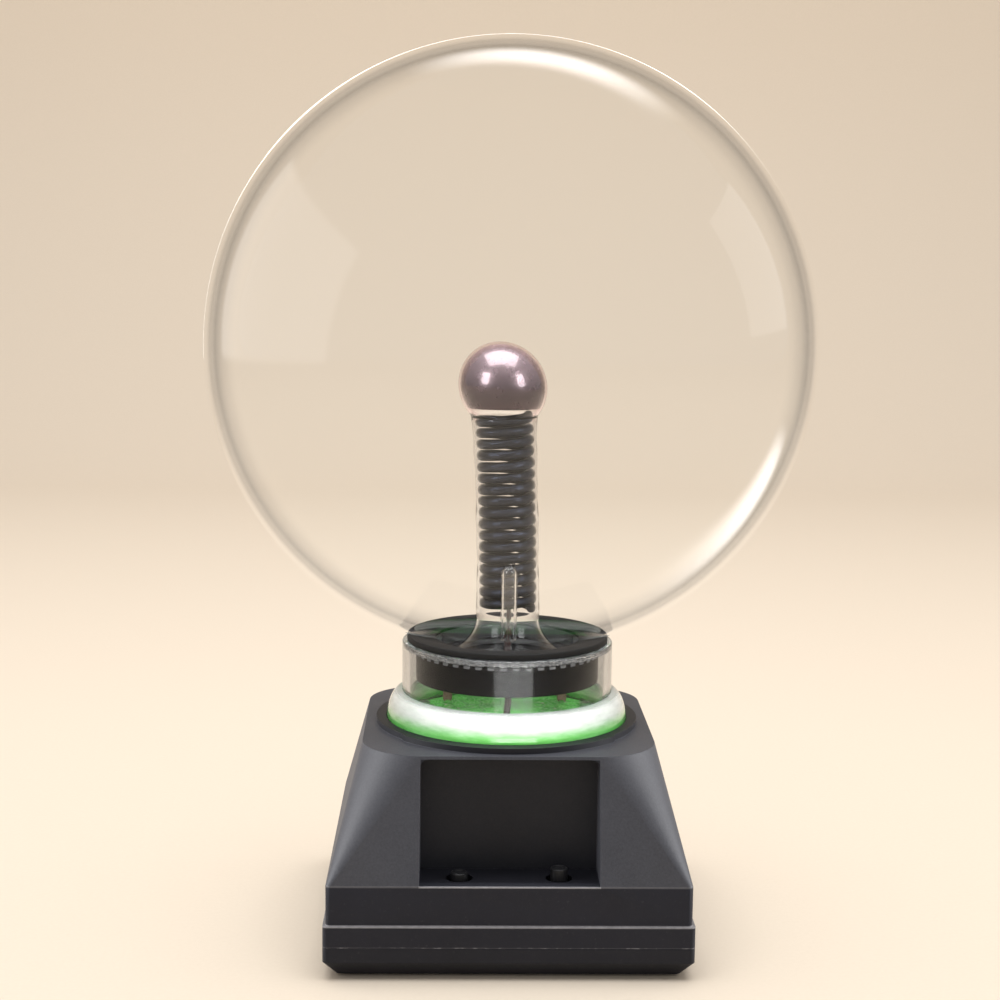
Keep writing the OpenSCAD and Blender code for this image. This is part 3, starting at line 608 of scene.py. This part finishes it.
def make_camera():
    data = bpy.data.cameras.new("camera")
    data.lens = CAMERA_LENS
    data.sensor_width = 36
    data.clip_start, data.clip_end = 0.05, 20
    camera = bpy.data.objects.new("camera", data)
    bpy.context.scene.collection.objects.link(camera)
    ahead = Vector((
        math.sin(CAMERA_YAW) * math.cos(CAMERA_PITCH),
        math.cos(CAMERA_YAW) * math.cos(CAMERA_PITCH),
        -math.sin(CAMERA_PITCH),
    ))
    level = Vector((math.cos(CAMERA_YAW), -math.sin(CAMERA_YAW), 0))
    up = level.cross(ahead)
    across = level * math.cos(CAMERA_ROLL) + up * math.sin(CAMERA_ROLL)
    up = up * math.cos(CAMERA_ROLL) - level * math.sin(CAMERA_ROLL)
    turn = Matrix((across, up, -ahead)).transposed().to_4x4()
    camera.matrix_world = Matrix.Translation(CAMERA_AT) @ turn
    bpy.context.scene.camera = camera


def soft_light(name, at, towards, width, height, power, only=(), never=(), fade=0.0):
    """A rectangular studio light at a point, aimed at another. It may be kept to some
    pieces, or off some, and it may fade over a share of its size towards its edges."""
    data = bpy.data.lights.new(name, "AREA")
    data.shape = "RECTANGLE"
    data.size, data.size_y = width, height
    data.energy = power
    if fade:
        data.use_nodes = True
        n = Nodes(data.node_tree)
        at_share = n.node("ShaderNodeNewGeometry", output="Parametric")
        across, along = (n.node("ShaderNodeSeparateXYZ", {}, {0: at_share}, axis) for axis in "XY")
        inside = [0.5 - abs(share - 0.5) for share in (across, along)]
        glow = n.rise(inside[0], 0.0, fade) * n.rise(inside[1], 0.0, fade)
        n.feed(data.node_tree.nodes["Emission"].inputs["Strength"], glow)
    light = bpy.data.objects.new(name, data)
    bpy.context.scene.collection.objects.link(light)
    aim = Vector(towards) - Vector(at)
    light.matrix_world = Matrix.Translation(at) @ aim.to_track_quat("-Z", "Y").to_matrix().to_4x4()
    if only or never:
        group = bpy.data.collections.new(name + "_pieces")
        for piece in only or never:
            group.objects.link(piece)
        for entry in group.collection_objects:
            entry.light_linking.link_state = "INCLUDE" if only else "EXCLUDE"
        light.light_linking.receiver_collection = group


def make_studio(pieces):
    """A pale seamless floor and backdrop under soft lights. The overhead light serves all
    but the globe, and each of the others serves only the pieces that it names."""
    reach, depth, rise, sweep_r = 3.0, 1.6, 2.6, 0.5
    bend = arc(depth - sweep_r, sweep_r, sweep_r, -90, 0, 24)
    section = [(-reach, 0)] + bend + [(depth, rise)]
    bm = bmesh.new()
    rows = [[bm.verts.new((x, y, z)) for x in (-reach, reach)] for y, z in section]
    for a, b in zip(rows, rows[1:]):
        bm.faces.new((a[0], a[1], b[1], b[0]))
    floor = finish_mesh(bm, "studio_floor", 60)
    f = Finish("pale paper", (0.8, 0.7, 0.58), 0.85, Specular_IOR_Level=0.2)
    tooth = f.noise(1.5 * MM, 3)
    f.set(
        Base_Color=f.blend(tooth, (0.78, 0.68, 0.56), (0.82, 0.72, 0.6)),
        Normal=f.bump(tooth, 0.05 * MM, 0.2),
    )
    floor.data.materials.append(f.material)

    world = bpy.data.worlds.new("studio")
    world.use_nodes = True
    world.node_tree.nodes["Background"].inputs[0].default_value = (1.0, 0.97, 0.94, 1)
    world.node_tree.nodes["Background"].inputs[1].default_value = 0.5
    bpy.context.scene.world = world
    bpy.context.scene.view_settings.view_transform = "Standard"

    globe = [pieces["globe_glass"]]
    collar = [pieces["collar_body"]]
    casing = [pieces["casing_shell"], pieces["cover_tray"]]
    column = [pieces["stem_glass"], pieces["lining_coat"], pieces["nib_glass"]]
    middle = (0, 0, 0.195)
    soft_light("overhead", (0, -0.1, 1.4), (0, 0, 0.1), 1.5, 1.1, 17, never=globe)
    for side, name in ((-1, "left_side"), (1, "right_side")):
        soft_light(name, (side * 1.1, -0.1, 0.4), (0, 0, 0.05), 0.7, 0.7, 22, only=casing)
        soft_light("column_" + name, (side * 0.7, -0.6, 0.5), (0, 0, 0.15), 0.35, 0.5, 3.5,
                   only=column)
    soft_light("globe_top", (0.22, 0.9, 1.4), middle, 1.5, 0.55, 20,
               only=globe, fade=0.45)
    soft_light("globe_low", (0.3, 0.13, 0.024), (0.215, 0.077, 1.024), 0.13, 0.5, 1.4,
               only=globe, fade=0.45)
    soft_light("globe_rim", (0, 1.4, 0.2), middle, 0.8, 0.8, 7, only=globe, fade=0.2)
    soft_light("left_window", (-1.5, 0.25, 0.6), (-0.1, 0, 0.2), 2.1, 1.2, 9,
               only=globe, fade=0.06)
    soft_light("right_window", (1.5, 0.35, 0.7), (0.1, 0, 0.2), 0.7, 0.9, 2.2, only=globe)
    soft_light("collar_strip", (0.02, -0.2, 0.04), (0.02, 0, 0.04), 0.16, 0.08, 0.34,
               only=collar, fade=0.12)
    soft_light("collar_front", (0.1, -0.5, 1.0), (0, 0, 0.08), 1.0, 0.6, 6, only=collar)
    soft_light("board_front", (0, -0.5, 0.3), (0, 0, 0.07), 0.5, 0.2, 9,
               only=[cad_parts["circuit_board"], pieces["capacitor_pair"]])
    soft_light("backdrop", (0, 0.2, 1.6), (0, 0.6, 0), 2.4, 1.6, 7, only=[floor])


# ---- Glass -----------------------------------------------------------------------------------

def make_globe():
    """The blown globe: two nearly concentric skins, joined by the rolled end of its neck."""
    inside_r = GLOBE_R - GLOBE_WALL
    neck_bore = NECK_R - GLOBE_WALL
    start = math.degrees(math.acos(NECK_R / GLOBE_R))
    outside = arc(0, GLOBE_Z, GLOBE_R, -start, 90, 110)
    start = math.degrees(math.acos(neck_bore / inside_r))
    inside = arc(0, GLOBE_Z, inside_r, 90, -start, 110)
    outside[-1] = (0, outside[-1][1])
    inside[0] = (0, inside[0][1])
    lip = arc(NECK_R - GLOBE_WALL / 2, NECK_Z + GLOBE_WALL / 2, GLOBE_WALL / 2, 180, 360, 8)
    chain = inside + lip + outside
    piece = turned("globe_glass", chain, 192)
    glass = thin_glass("blown globe glass", (0.995, 0.997, 0.997), (0.8, 0.805, 0.815), 0.06, 0.9)
    piece.data.materials.append(glass.material)
    return piece


def lean(z):
    """How far the hand-blown stem has drifted sideways at a height."""
    share = max(0.0, (z - FOOT_Z) / (BALL_Z - FOOT_Z))
    return BALL_X * share ** 1.8


def lean_over(piece):
    for vertex in piece.data.vertices:
        vertex.co.x += lean(vertex.co.z)
    shade(piece.data, SMOOTH_DEG)


def make_stem():
    """The stem and its ball: one tube, flared at the foot and blown out at the top."""
    flare_r = NECK_R - GLOBE_WALL - STEM_R
    bore = STEM_R - STEM_WALL
    tube_top = BALL_Z - math.sqrt(BALL_R ** 2 - STEM_R ** 2)
    flare = arc(STEM_R + flare_r, FOOT_Z, flare_r, 270, 180, 16)
    heights = [i / 60 for i in range(1, 60)]
    rise = []
    for t in heights:
        lump = 0.1 * MM * math.sin(17 * t) + 0.06 * MM * math.sin(41 * t)
        ends = 0.4 * MM * math.exp(-t * 14) + 0.8 * MM * math.exp(-(1 - t) * 16)
        rise.append((STEM_R + ends + lump * min(1, 4 * t), FOOT_Z + (tube_top - FOOT_Z) * t))
    join = math.degrees(math.asin((STEM_R + 0.8 * MM) / BALL_R))
    ball = arc(0, BALL_Z, BALL_R, join - 90, 90, 48)
    ball[-1] = (0, ball[-1][1])
    join = math.degrees(math.asin(bore / (BALL_R - STEM_WALL)))
    hollow = arc(0, BALL_Z, BALL_R - STEM_WALL, 90, join - 90, 40)
    hollow[0] = (0, hollow[0][1])
    bore_line = [(bore, FOOT_Z + (hollow[-1][1] - FOOT_Z) * t) for t in heights[::-1]]
    under = arc(STEM_R + flare_r, FOOT_Z, flare_r + STEM_WALL, 180, 262, 16)
    piece = turned("stem_glass", hollow + bore_line + under + flare + rise + ball, 96)
    lean_over(piece)
    glass = thick_glass("stem glass", (0.98, 0.98, 0.985), (0.58, 0.58, 0.62), 0.015, shine=0.4,
                        tint=(BALL_Z - 12 * MM, (0.85, 0.4, 0.48)))
    piece.data.materials.append(glass.material)
    return piece


def make_nib():
    """Closed exhaust nib, a small glass tube drawn off in front of the stem's foot."""
    lo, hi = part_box("exhaust_nib")
    radius, nib_wall = (hi.x - lo.x) / 2, 0.8 * MM
    at = (0, (lo.y + hi.y) / 2)
    low_z = FOOT_Z - 5.5 * MM
    top = arc(0, hi.z - radius, radius, 0, 90, 14)
    top[-1] = (0, top[-1][1])
    hollow = arc(0, hi.z - radius, radius - nib_wall, 90, 0, 12)
    hollow[0] = (0, hollow[0][1])
    chain = hollow + [(radius - nib_wall, low_z), (radius, low_z)] + top
    piece = turned("nib_glass", chain, 48, at)
    glass = thick_glass("nib glass", (0.98, 0.98, 0.98), (0.85, 0.85, 0.87), 0.02)
    piece.data.materials.append(glass.material)
    return piece


def make_lining():
    """The dark conductive coat inside the ball, thinning to pink at its lower edge."""
    outer = BALL_R - STEM_WALL - FIT_GAP
    thick = 0.5 * MM
    edge_deg = -29
    outside = arc(0, BALL_Z, outer, edge_deg, 90, 40)
    outside[-1] = (0, outside[-1][1])
    inside = arc(0, BALL_Z, outer - thick, 90, edge_deg, 40)
    inside[0] = (0, inside[0][1])
    piece = turned("lining_coat", inside + outside, 96)
    lean_over(piece)
    f = Finish("conductive coat", (0.3, 0.22, 0.24), 0.25, Metallic=0.75)
    height = f.place_axes()[2] - BALL_Z
    mottle = f.noise(3 * MM, 4)
    # Painted shade and light: the coat is dark over a band in its lower third and grows lighter
    # towards its top; its lowest edge is pink where it thins.
    tone = f.ramp((height + 8 * MM + mottle * 1.5 * MM) / (22 * MM), [
        (0.0, (0.45, 0.17, 0.21)), (0.1, (0.08, 0.05, 0.056)), (0.28, (0.07, 0.05, 0.056)),
        (0.55, (0.22, 0.16, 0.175)), (1.0, (0.5, 0.38, 0.41))])
    f.set(
        Base_Color=tone,
        Roughness=0.18 + mottle * 0.16,
        Normal=f.bump(mottle, 0.03 * MM, 0.3),
    )
    piece.data.materials.append(f.material)
    return piece


def make_coil():
    """Contact coil: dark springy wire, wound closely up the inside of the stem."""
    lo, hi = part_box("contact_coil")
    wire = 1.68 * MM
    turns, per_turn = 17, 44
    radius = STEM_R - STEM_WALL - FIT_GAP - wire
    path = []
    for i in range(turns * per_turn + 1):
        a = 2 * math.pi * i / per_turn
        z = lo.z + wire + (hi.z - lo.z - 2 * wire) * i / (turns * per_turn)
        path.append((radius * math.cos(a) + lean(z), radius * math.sin(a), z))
    piece = swept("coil_wire", path, wire, 18)
    f = metal("dark drawn wire", (0.03, 0.034, 0.048), 0.28, (1, 1, 0.3), 0.8 * MM)
    piece.data.materials.append(f.material)
    return piece


def make_sleeve():
    """Clear sleeve with a closed, round top over the high-voltage lead."""
    lo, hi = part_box("lead_sleeve")
    radius = (hi.x - lo.x) / 2
    bore = radius - 1.0 * MM
    top = arc(0, hi.z - radius, radius, 0, 90, 12)
    top[-1] = (0, top[-1][1])
    hollow = arc(0, hi.z - radius, bore, 90, 0, 10)
    hollow[0] = (0, hollow[0][1])
    chain = hollow + [(bore, lo.z), (radius, lo.z)] + top
    piece = turned("sleeve_tube", chain, 48)
    piece.data.materials.append(
        thick_glass("clear sleeving", (0.9, 0.9, 0.92), (0.5, 0.5, 0.52), 0.08, 1.4).material)
    return piece


# ---- Neck ------------------------------------------------------------------------------------

def make_gasket():
    """Rubber gasket: a flat lip under the globe, dished to the glass, and a plug below."""
    lo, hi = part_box("globe_gasket")
    lip_r = (hi.x - lo.x) / 2
    bore = NECK_R + 0.08 * MM
    plug_r = 28.2 * MM
    seat_r = 28.5 * MM
    gap = 0.12 * MM

    def under_glass(radius):
        return GLOBE_Z - math.sqrt((GLOBE_R + gap) ** 2 - radius ** 2)

    dish = [(bore + (seat_r - bore) * i / 10, under_glass(bore + (seat_r - bore) * i / 10))
            for i in range(11)]
    brim = filleted([
        (lip_r, hi.z - 0.05 * MM, 0.6 * MM), (lip_r, COLLAR_TOP_Z + 0.03 * MM, 0.5 * MM),
        (plug_r, COLLAR_TOP_Z + 0.03 * MM, 0.2 * MM), (plug_r, lo.z, 0.4 * MM),
        (bore, lo.z, 0.3 * MM), (seat_r, hi.z - 0.05 * MM, 0)])
    piece = turned("gasket_ring", dish + brim[:-1], 144)
    # Painted reflection: the gasket is painted grey below the collar's top.
    piece.data.materials.append(
        rubber("black gasket rubber", painted_reflection_below=COLLAR_TOP_Z).material)
    return piece


def make_neck_socket():
    """Toothed socket: a black cup with a crown of square teeth round its rim."""
    lo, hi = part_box("neck_socket")
    outer = (hi.x - lo.x) / 2
    wall, floor_t, hole = 2.2 * MM, 2 * MM, 12.4 * MM
    tooth_h, teeth = 1.2 * MM, 48
    outline = filleted([
        (hole, lo.z, 0.3 * MM), (outer, lo.z, 0.8 * MM), (outer, hi.z - tooth_h, 0.15 * MM),
        (outer - wall, hi.z - tooth_h, 0.15 * MM), (outer - wall, lo.z + floor_t, 0.6 * MM),
        (hole, lo.z + floor_t, 0.3 * MM)], 3)
    cup = turned("cup", outline, 144)
    parts = [cup]
    pitch = 2 * math.pi / teeth
    for k in range(teeth):
        a, b = (k - 0.25) * pitch, (k + 0.25) * pitch
        quad = [(r * math.cos(t), r * math.sin(t)) for r, t in (
            (outer - 0.1 * MM, a), (outer - 0.1 * MM, b), (outer - wall, b), (outer - wall, a))]
        parts.append(extruded("tooth", quad, hi.z - tooth_h - 0.1 * MM, hi.z))
    piece = joined("toothed_socket", parts)
    f = moulded_plastic("neck socket black", (0.004, 0.004, 0.005), 0.5, dull=0.08)
    x, y, z = f.place_axes()
    turn = f.node("ShaderNodeMath", {"operation": "ARCTAN2"}, {0: y, 1: x}) / pitch
    off_tooth = abs(f.node("ShaderNodeMath", {"operation": "FRACT"}, {0: turn + 0.5}) - 0.5)
    # Painted reflection: grey dashes on the cup's wall just below its rim, under the gaps between
    # the teeth.
    painted_reflection_dashes = f.line(z, hi.z - tooth_h - 0.3 * MM, 0.4 * MM, 0.15 * MM) * \
        f.rise(off_tooth, 0.2, 0.27)
    plain = Value(f, f.shader.inputs["Base Color"].links[0].from_socket)
    f.set(Base_Color=f.blend(painted_reflection_dashes * 0.8, plain, (0.3, 0.3, 0.31)))
    piece.data.materials.append(f.material)
    return piece


def make_collar():
    """Clear collar with a rounded, flared foot and a ledge inside its top."""
    bore = COLLAR_R - COLLAR_WALL
    spread = COLLAR_FOOT_R - COLLAR_R
    edge_h, flare_h = 1.5 * MM, 9.3 * MM
    ledge_t, ledge_r = 1.9 * MM, 29 * MM

    def quarter(r0, z0, height):
        return [(r0 + spread * math.cos(math.radians(3 * i)),
                 z0 + height * math.sin(math.radians(3 * i))) for i in range(31)]

    outside = quarter(COLLAR_R, DECK_Z + edge_h, flare_h)
    inside = quarter(bore, DECK_Z, flare_h - 1 * MM)
    top = filleted([
        (COLLAR_R, DECK_Z + edge_h + flare_h + 1 * MM, 0), (COLLAR_R, COLLAR_TOP_Z, 0.7 * MM),
        (ledge_r, COLLAR_TOP_Z, 0.3 * MM), (ledge_r, COLLAR_TOP_Z - ledge_t, 0.3 * MM),
        (bore, COLLAR_TOP_Z - ledge_t, 0.4 * MM), (bore, DECK_Z + flare_h + 1 * MM, 0)], 5)
    chain = [(COLLAR_FOOT_R, DECK_Z + 0.02 * MM)] + outside + top + inside[::-1]
    piece = turned("collar_body", chain, 160)

    def painted_glow_layer(f):
        """Painted light in the thick flare: a painted green glow of the board's light at the foot,
        and a painted white reflection that is fullest half way up. The ledge at the top carries a
        painted grey reflection, broken up by noise."""
        height = f.place_axes()[2] - DECK_Z
        streaks = f.noise(6 * MM, 3, (1, 1, 4))
        lift = height + streaks * 1.5 * MM
        flare = f.rise(lift, 0.4 * MM, 3 * MM) * (1 - f.rise(height, 9.2 * MM, 11 * MM)) * \
            (0.38 + streaks * 0.5)
        ledge_h = COLLAR_TOP_Z - ledge_t - DECK_Z
        ledge = f.rise(height, ledge_h, ledge_h + 0.2 * MM)
        # Painted grey reflection on the ledge, broken up by noise.
        reflection_breakup = f.rise(f.noise(0.9 * MM, 4), 0.4, 0.65) * 0.4 + 0.12
        # Painted green glow of the board's light at the foot, turning to a painted white reflection
        # higher up.
        colour = f.blend(f.rise(lift, 3.2 * MM, 7.5 * MM), (0.2, 0.82, 0.16), (0.93, 0.96, 0.94))
        return flare + ledge * reflection_breakup, f.blend(ledge, colour, (0.3, 0.31, 0.32))

    # The collar's flare carries painted light: a painted green glow and painted white and grey
    # reflections.
    glass = thick_glass("clear acrylic", (0.98, 0.99, 0.985), (0.17, 0.18, 0.21), 0.015,
                        shine=0.2, spread=1.0, painted_glow=painted_glow_layer)
    piece.data.materials.append(glass.material)
    return piece


# ---- Casing ----------------------------------------------------------------------------------

PER_CORNER = 24


def square_ring(half, corner, z):
    """A level ring round a square with rounded corners."""
    ring = []
    for quarter in range(4):
        turn = Matrix.Rotation(math.radians(90 * quarter), 2)
        for x, y in arc(half - corner, half - corner, corner, 0, 90, PER_CORNER):
            p = turn @ Vector((x, y))
            ring.append((p.x, p.y, z))
    return ring


def round_ring(radius, z, step=0.0, sector_deg=52):
    """A level circle; its front and back sectors may step out."""
    count = 4 * (PER_CORNER + 1)
    ring = []
    for k in range(count):
        deg = (k + 0.5) * 360 / count
        off_axis = min(abs(deg - 90), abs(deg - 270))
        r = radius + (step if off_axis < sector_deg else 0)
        ring.append((r * math.cos(math.radians(deg)), r * math.sin(math.radians(deg)), z))
    return ring


def cylinder_tool(at, radius, z0, z1):
    """An upright round cutter."""
    return turned("tool", [(0, z0), (radius, z0), (radius, z1), (0, z1)], 64, at)


def make_casing():
    """The upper casing: plinth, four slopes, deck and seat ring, with the finger pocket, the
    two button holes and the power inlet cut in."""
    wall = CASING_WALL
    corner, deck_corner = 1.5 * MM, 20 * MM
    hole_r, ring_in, ring_out, ring_step = 37.5 * MM, 40.45 * MM, 43.75 * MM, 1.2 * MM
    rings = [
        square_ring(BAND_HALF, corner, SEAM_Z),
        square_ring(BAND_HALF, corner, BAND_Z),
        square_ring(PLINTH_HALF, corner, BAND_Z),
        square_ring(PLINTH_HALF, corner, SHELF_Z),
        square_ring(DECK_HALF, deck_corner, DECK_Z),
        round_ring(ring_out, DECK_Z, ring_step),
        round_ring(ring_out, SEAT_Z, ring_step),
        round_ring(ring_in, SEAT_Z),
        round_ring(ring_in, DECK_Z),
        round_ring(hole_r, DECK_Z),
        round_ring(hole_r, DECK_Z - wall),
        square_ring(DECK_HALF - wall, deck_corner - wall, DECK_Z - wall),
        square_ring(PLINTH_HALF - wall, corner, SHELF_Z),
        square_ring(PLINTH_HALF - wall, corner, BAND_Z),
        square_ring(BAND_HALF - wall, corner, BAND_Z - wall),
        square_ring(BAND_HALF - wall, corner, SEAM_Z),
    ]
    piece = stacked("casing_shell", rings)

    lintel = 1 * MM
    top_z = DECK_Z - lintel
    slope = (PLINTH_HALF - DECK_HALF) / (DECK_Z - SHELF_Z)

    def face_y(z):
        return -(PLINTH_HALF - slope * (z - SHELF_Z)) if z > SHELF_Z else -PLINTH_HALF

    inset = 0.4 * MM
    floor_z, roof_z = SHELF_Z - wall, DECK_Z - 0.3 * MM
    section = [(face_y(floor_z) + inset, floor_z), (-POCKET_BACK + wall, floor_z),
               (-POCKET_BACK + wall, roof_z), (face_y(roof_z) + inset, roof_z),
               (face_y(SHELF_Z) + inset, SHELF_Z)]
    walls = extruded("tool", section, -POCKET_HALF - wall, POCKET_HALF + wall, "x")
    opening = filleted([
        (-POCKET_HALF, SHELF_Z, 0), (POCKET_HALF, SHELF_Z, 0),
        (POCKET_HALF, top_z, 3 * MM), (-POCKET_HALF, top_z, 3 * MM)], 8)
    pocket = extruded("tool", opening, -POCKET_BACK - 30 * MM, -POCKET_BACK, "y")
    combine(piece, "UNION", [walls])
    button_hole_r = 4.2 * MM
    holes = [cylinder_tool((side * BUTTON_X, BUTTON_Y), button_hole_r, floor_z - 1 * MM,
                           SHELF_Z + 1 * MM) for side in (-1, 1)]
    inlet_lo, inlet_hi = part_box("power_socket")
    inlet_z = (inlet_lo.z + inlet_hi.z) / 2
    inlet_r, inlet_depth = 4.05 * MM, 8 * MM
    inlet = turned("tool", [(0, 0), (inlet_r, 0), (inlet_r, inlet_depth), (0, inlet_depth)], 48)
    inlet.data.transform(Matrix.Translation((0, PLINTH_HALF - 5 * MM, inlet_z))
                         @ Matrix.Rotation(math.radians(-90), 4, "X"))
    combine(piece, "DIFFERENCE", [pocket, *holes, inlet])
    soften_edges(piece, 0.45 * MM, 28)
    piece.data.materials.append(casing_finish("casing black").material)
    return piece


def make_cover():
    """Bottom cover: a chamfered tray with recesses for the feet and screws, and air slots."""
    lo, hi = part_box("bottom_cover")
    corner = 1.5 * MM
    chamfer_h, chamfer_in, floor_t = 5 * MM, 4 * MM, 2.2 * MM
    joint_z = SEAM_Z - 0.12 * MM
    lip_half = BAND_HALF - 2.4 * MM
    inner = BAND_HALF - chamfer_in - 0.6 * MM
    rings = [
        square_ring(1 * MM, 0.5 * MM, lo.z),
        square_ring(BAND_HALF - chamfer_in, corner, lo.z),
        square_ring(BAND_HALF, corner, lo.z + chamfer_h),
        square_ring(BAND_HALF, corner, joint_z),
        square_ring(lip_half, corner, joint_z),
        square_ring(lip_half, corner, hi.z),
        square_ring(inner, corner, hi.z),
        square_ring(inner, corner, lo.z + floor_t),
        square_ring(1 * MM, 0.5 * MM, lo.z + floor_t),
    ]
    bm = bmesh.new()
    loops = [[bm.verts.new(p) for p in ring] for ring in rings]
    for a, b in zip(loops, loops[1:]):
        bridge(bm, a, b)
    bm.faces.new(loops[0])
    bm.faces.new(loops[-1])
    piece = finish_mesh(bm, "cover_tray")
    foot = high("rubber_feet").x - FOOT_R
    foot_recess_r, screw_recess_r = 6.05 * MM, 3.25 * MM
    below = lo.z - 1 * MM
    tools = []
    for x in (-1, 1):
        for y in (-1, 1):
            tools.append(cylinder_tool((x * foot, y * foot), foot_recess_r, below, lo.z + 1 * MM))
            screw = (x * 48.5 * MM, y * 20 * MM)
            tools.append(cylinder_tool(screw, screw_recess_r, below, lo.z + 3.2 * MM))
    slot_pitch, slot_half, slot_front, slot_back = 8 * MM, 1.5 * MM, -12 * MM, 28 * MM
    for i in range(-2, 3):
        x = i * slot_pitch
        tools.append(block("tool", (x - slot_half, slot_front, below),
                           (x + slot_half, slot_back, lo.z + 4 * MM)))
    combine(piece, "DIFFERENCE", tools)
    soften_edges(piece, 0.4 * MM, 28)
    piece.data.materials.append(moulded_plastic("cover black", (0.0075, 0.0078, 0.012)).material)
    return piece


def make_feet():
    """Four round rubber feet, one near each corner."""
    lo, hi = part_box("rubber_feet")
    at = hi.x - FOOT_R
    outline = filleted([(0, lo.z, 0), (FOOT_R, lo.z, 0.5 * MM), (FOOT_R, hi.z, 0.1 * MM),
                        (0, hi.z, 0)], 4)
    parts = [turned("foot", outline, 48, (x * at, y * at)) for x in (-1, 1) for y in (-1, 1)]
    piece = joined("foot_pads", parts)
    piece.data.materials.append(rubber("foot rubber", (0.03, 0.03, 0.03)).material)
    return piece


def make_button(node, name):
    """A push button: a plain round cap with a softened, slightly dished top."""
    lo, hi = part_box(node)
    radius = (hi.x - lo.x) / 2
    at = ((hi.x + lo.x) / 2, (hi.y + lo.y) / 2)
    socket, socket_z = 1.72 * MM, lo.z + 3 * MM
    dish = 0.12 * MM
    outline = [(0, hi.z - dish)] + filleted([
        (radius * 0.7, hi.z - dish * 0.4, 0.5 * MM), (radius * 0.88, hi.z, 0.2 * MM),
        (radius, hi.z - 0.35 * MM, 0.3 * MM), (radius, lo.z, 0.2 * MM),
        (socket, lo.z, 0.1 * MM), (socket, socket_z, 0)], 4) + [(0, socket_z)]
    piece = turned(name, outline, 48, at)
    piece.data.materials.append(
        moulded_plastic(name + " black", (0.016, 0.016, 0.018), 0.33).material)
    return piece


def make_board_parts():
    """Small upright capacitors on the board, each on two tinned legs."""
    lo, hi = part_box("ceramic_capacitors")
    half_x, half_y = 1.7 * MM, 1.2 * MM
    leg_spread, leg_r = 1.1 * MM, 0.25 * MM
    y = (lo.y + hi.y) / 2
    parts = []
    for side in (-1, 1):
        x = side * (hi.x - half_x)
        body = block("body", (x - half_x, y - half_y, lo.z + 0.5 * MM),
                     (x + half_x, y + half_y, hi.z))
        soften_edges(body, 0.5 * MM)
        bake_modifiers(body)
        parts.append(body)
        for leg_x in (x - leg_spread, x + leg_spread):
            parts.append(swept("leg", [(leg_x, y, lo.z), (leg_x, y, lo.z + 1 * MM)], leg_r, 10))
    piece = joined("capacitor_pair", parts)
    piece.data.materials.append(speckled("brown dipped coat", (0.16, 0.09, 0.06), 0.45).material)
    return piece


# ---- Assembly --------------------------------------------------------------------------------

BASE = "base"
new_pieces = [
    (make_globe(), BASE, "globe", "globe_glass"),
    (make_stem(), BASE, "electrode_stem", "stem_glass"),
    (make_nib(), BASE, "exhaust_nib", "stem_glass"),
    (make_lining(), BASE, "ball_lining", "lining"),
    (make_coil(), BASE, "contact_coil", "coil_steel"),
    (make_sleeve(), BASE, "lead_sleeve", "clear_sleeve"),
    (make_gasket(), BASE, "globe_gasket", "gasket_rubber"),
    (make_neck_socket(), BASE, "neck_socket", "socket_black"),
    (make_collar(), BASE, "clear_collar", "collar_clear"),
    (make_casing(), BASE, "upper_casing", "casing_black"),
    (make_cover(), BASE, "bottom_cover", "cover_black"),
    (make_feet(), BASE, "rubber_feet", "foot_rubber"),
    (make_button("left_button", "left_cap"), "left_push_button", "left_button", "button_black"),
    (make_button("right_button", "right_cap"), "right_push_button", "right_button", "button_black"),
    (make_board_parts(), BASE, "ceramic_capacitors", "ceramic_brown"),
]
for piece, body, node, slot in new_pieces:
    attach(piece, body)
    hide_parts(node)

make_camera()
make_studio({piece.name: piece for piece, *_ in new_pieces})

steel = metal("zinc plated steel", (0.62, 0.62, 0.64), 0.3)
board = solder_mask("green solder mask")
node_finishes = {
    "circuit_board": board,
    "switch_board": board,
    "cover_screws": steel,
    "board_screws": steel,
    "switch_board_screws": steel,
    "transistor_screw": steel,
    "left_spring": steel,
    "right_spring": steel,
    "flyback_core": speckled("dull ferrite", (0.05, 0.05, 0.055), 0.6),
    "flyback_bobbin": moulded_plastic("bobbin black", (0.03, 0.03, 0.03)),
    "flyback_winding": wrapped_tape("yellow winding tape", (0.7, 0.48, 0.05)),
    "power_transistor": speckled("device black", (0.025, 0.025, 0.027), 0.5),
    "heat_sink": metal("mill aluminium", (0.72, 0.73, 0.75), 0.35, (1, 1, 0.08), 0.5 * MM),
    "smoothing_capacitors": speckled("blue sleeve", (0.02, 0.04, 0.2), 0.3, contrast=0.2),
    "film_capacitor": speckled("red dipped coat", (0.4, 0.05, 0.03), 0.25, contrast=0.2),
    "resistors": speckled("tan lacquer", (0.6, 0.45, 0.25), 0.35, contrast=0.25),
    "microphone": metal("satin can", (0.6, 0.6, 0.6), 0.4),
    "left_switch": moulded_plastic("left switch white", (0.7, 0.7, 0.66)),
    "right_switch": moulded_plastic("right switch white", (0.7, 0.7, 0.66)),
    "left_plunger": moulded_plastic("left plunger white", (0.75, 0.75, 0.72)),
    "right_plunger": moulded_plastic("right plunger white", (0.75, 0.75, 0.72)),
    "power_socket": moulded_plastic("inlet black", (0.02, 0.02, 0.02), 0.4),
    "socket_pin": metal("nickel pin", (0.75, 0.74, 0.7), 0.2),
    "socket_nut": metal("nickel nut", (0.7, 0.7, 0.72), 0.25),
    "socket_leads": rubber("black lead sheath", (0.02, 0.02, 0.02)),
    "switch_leads": rubber("red lead sheath", (0.4, 0.02, 0.015)),
    "high_voltage_lead": rubber("dark brown lead sheath", (0.05, 0.016, 0.013)),
}
for node, finish in node_finishes.items():
    mesh_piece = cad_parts[node]
    if not mesh_piece.material_slots:
        mesh_piece.data.materials.append(finish.material)
    for material_slot in mesh_piece.material_slots:
        material_slot.material = finish.material
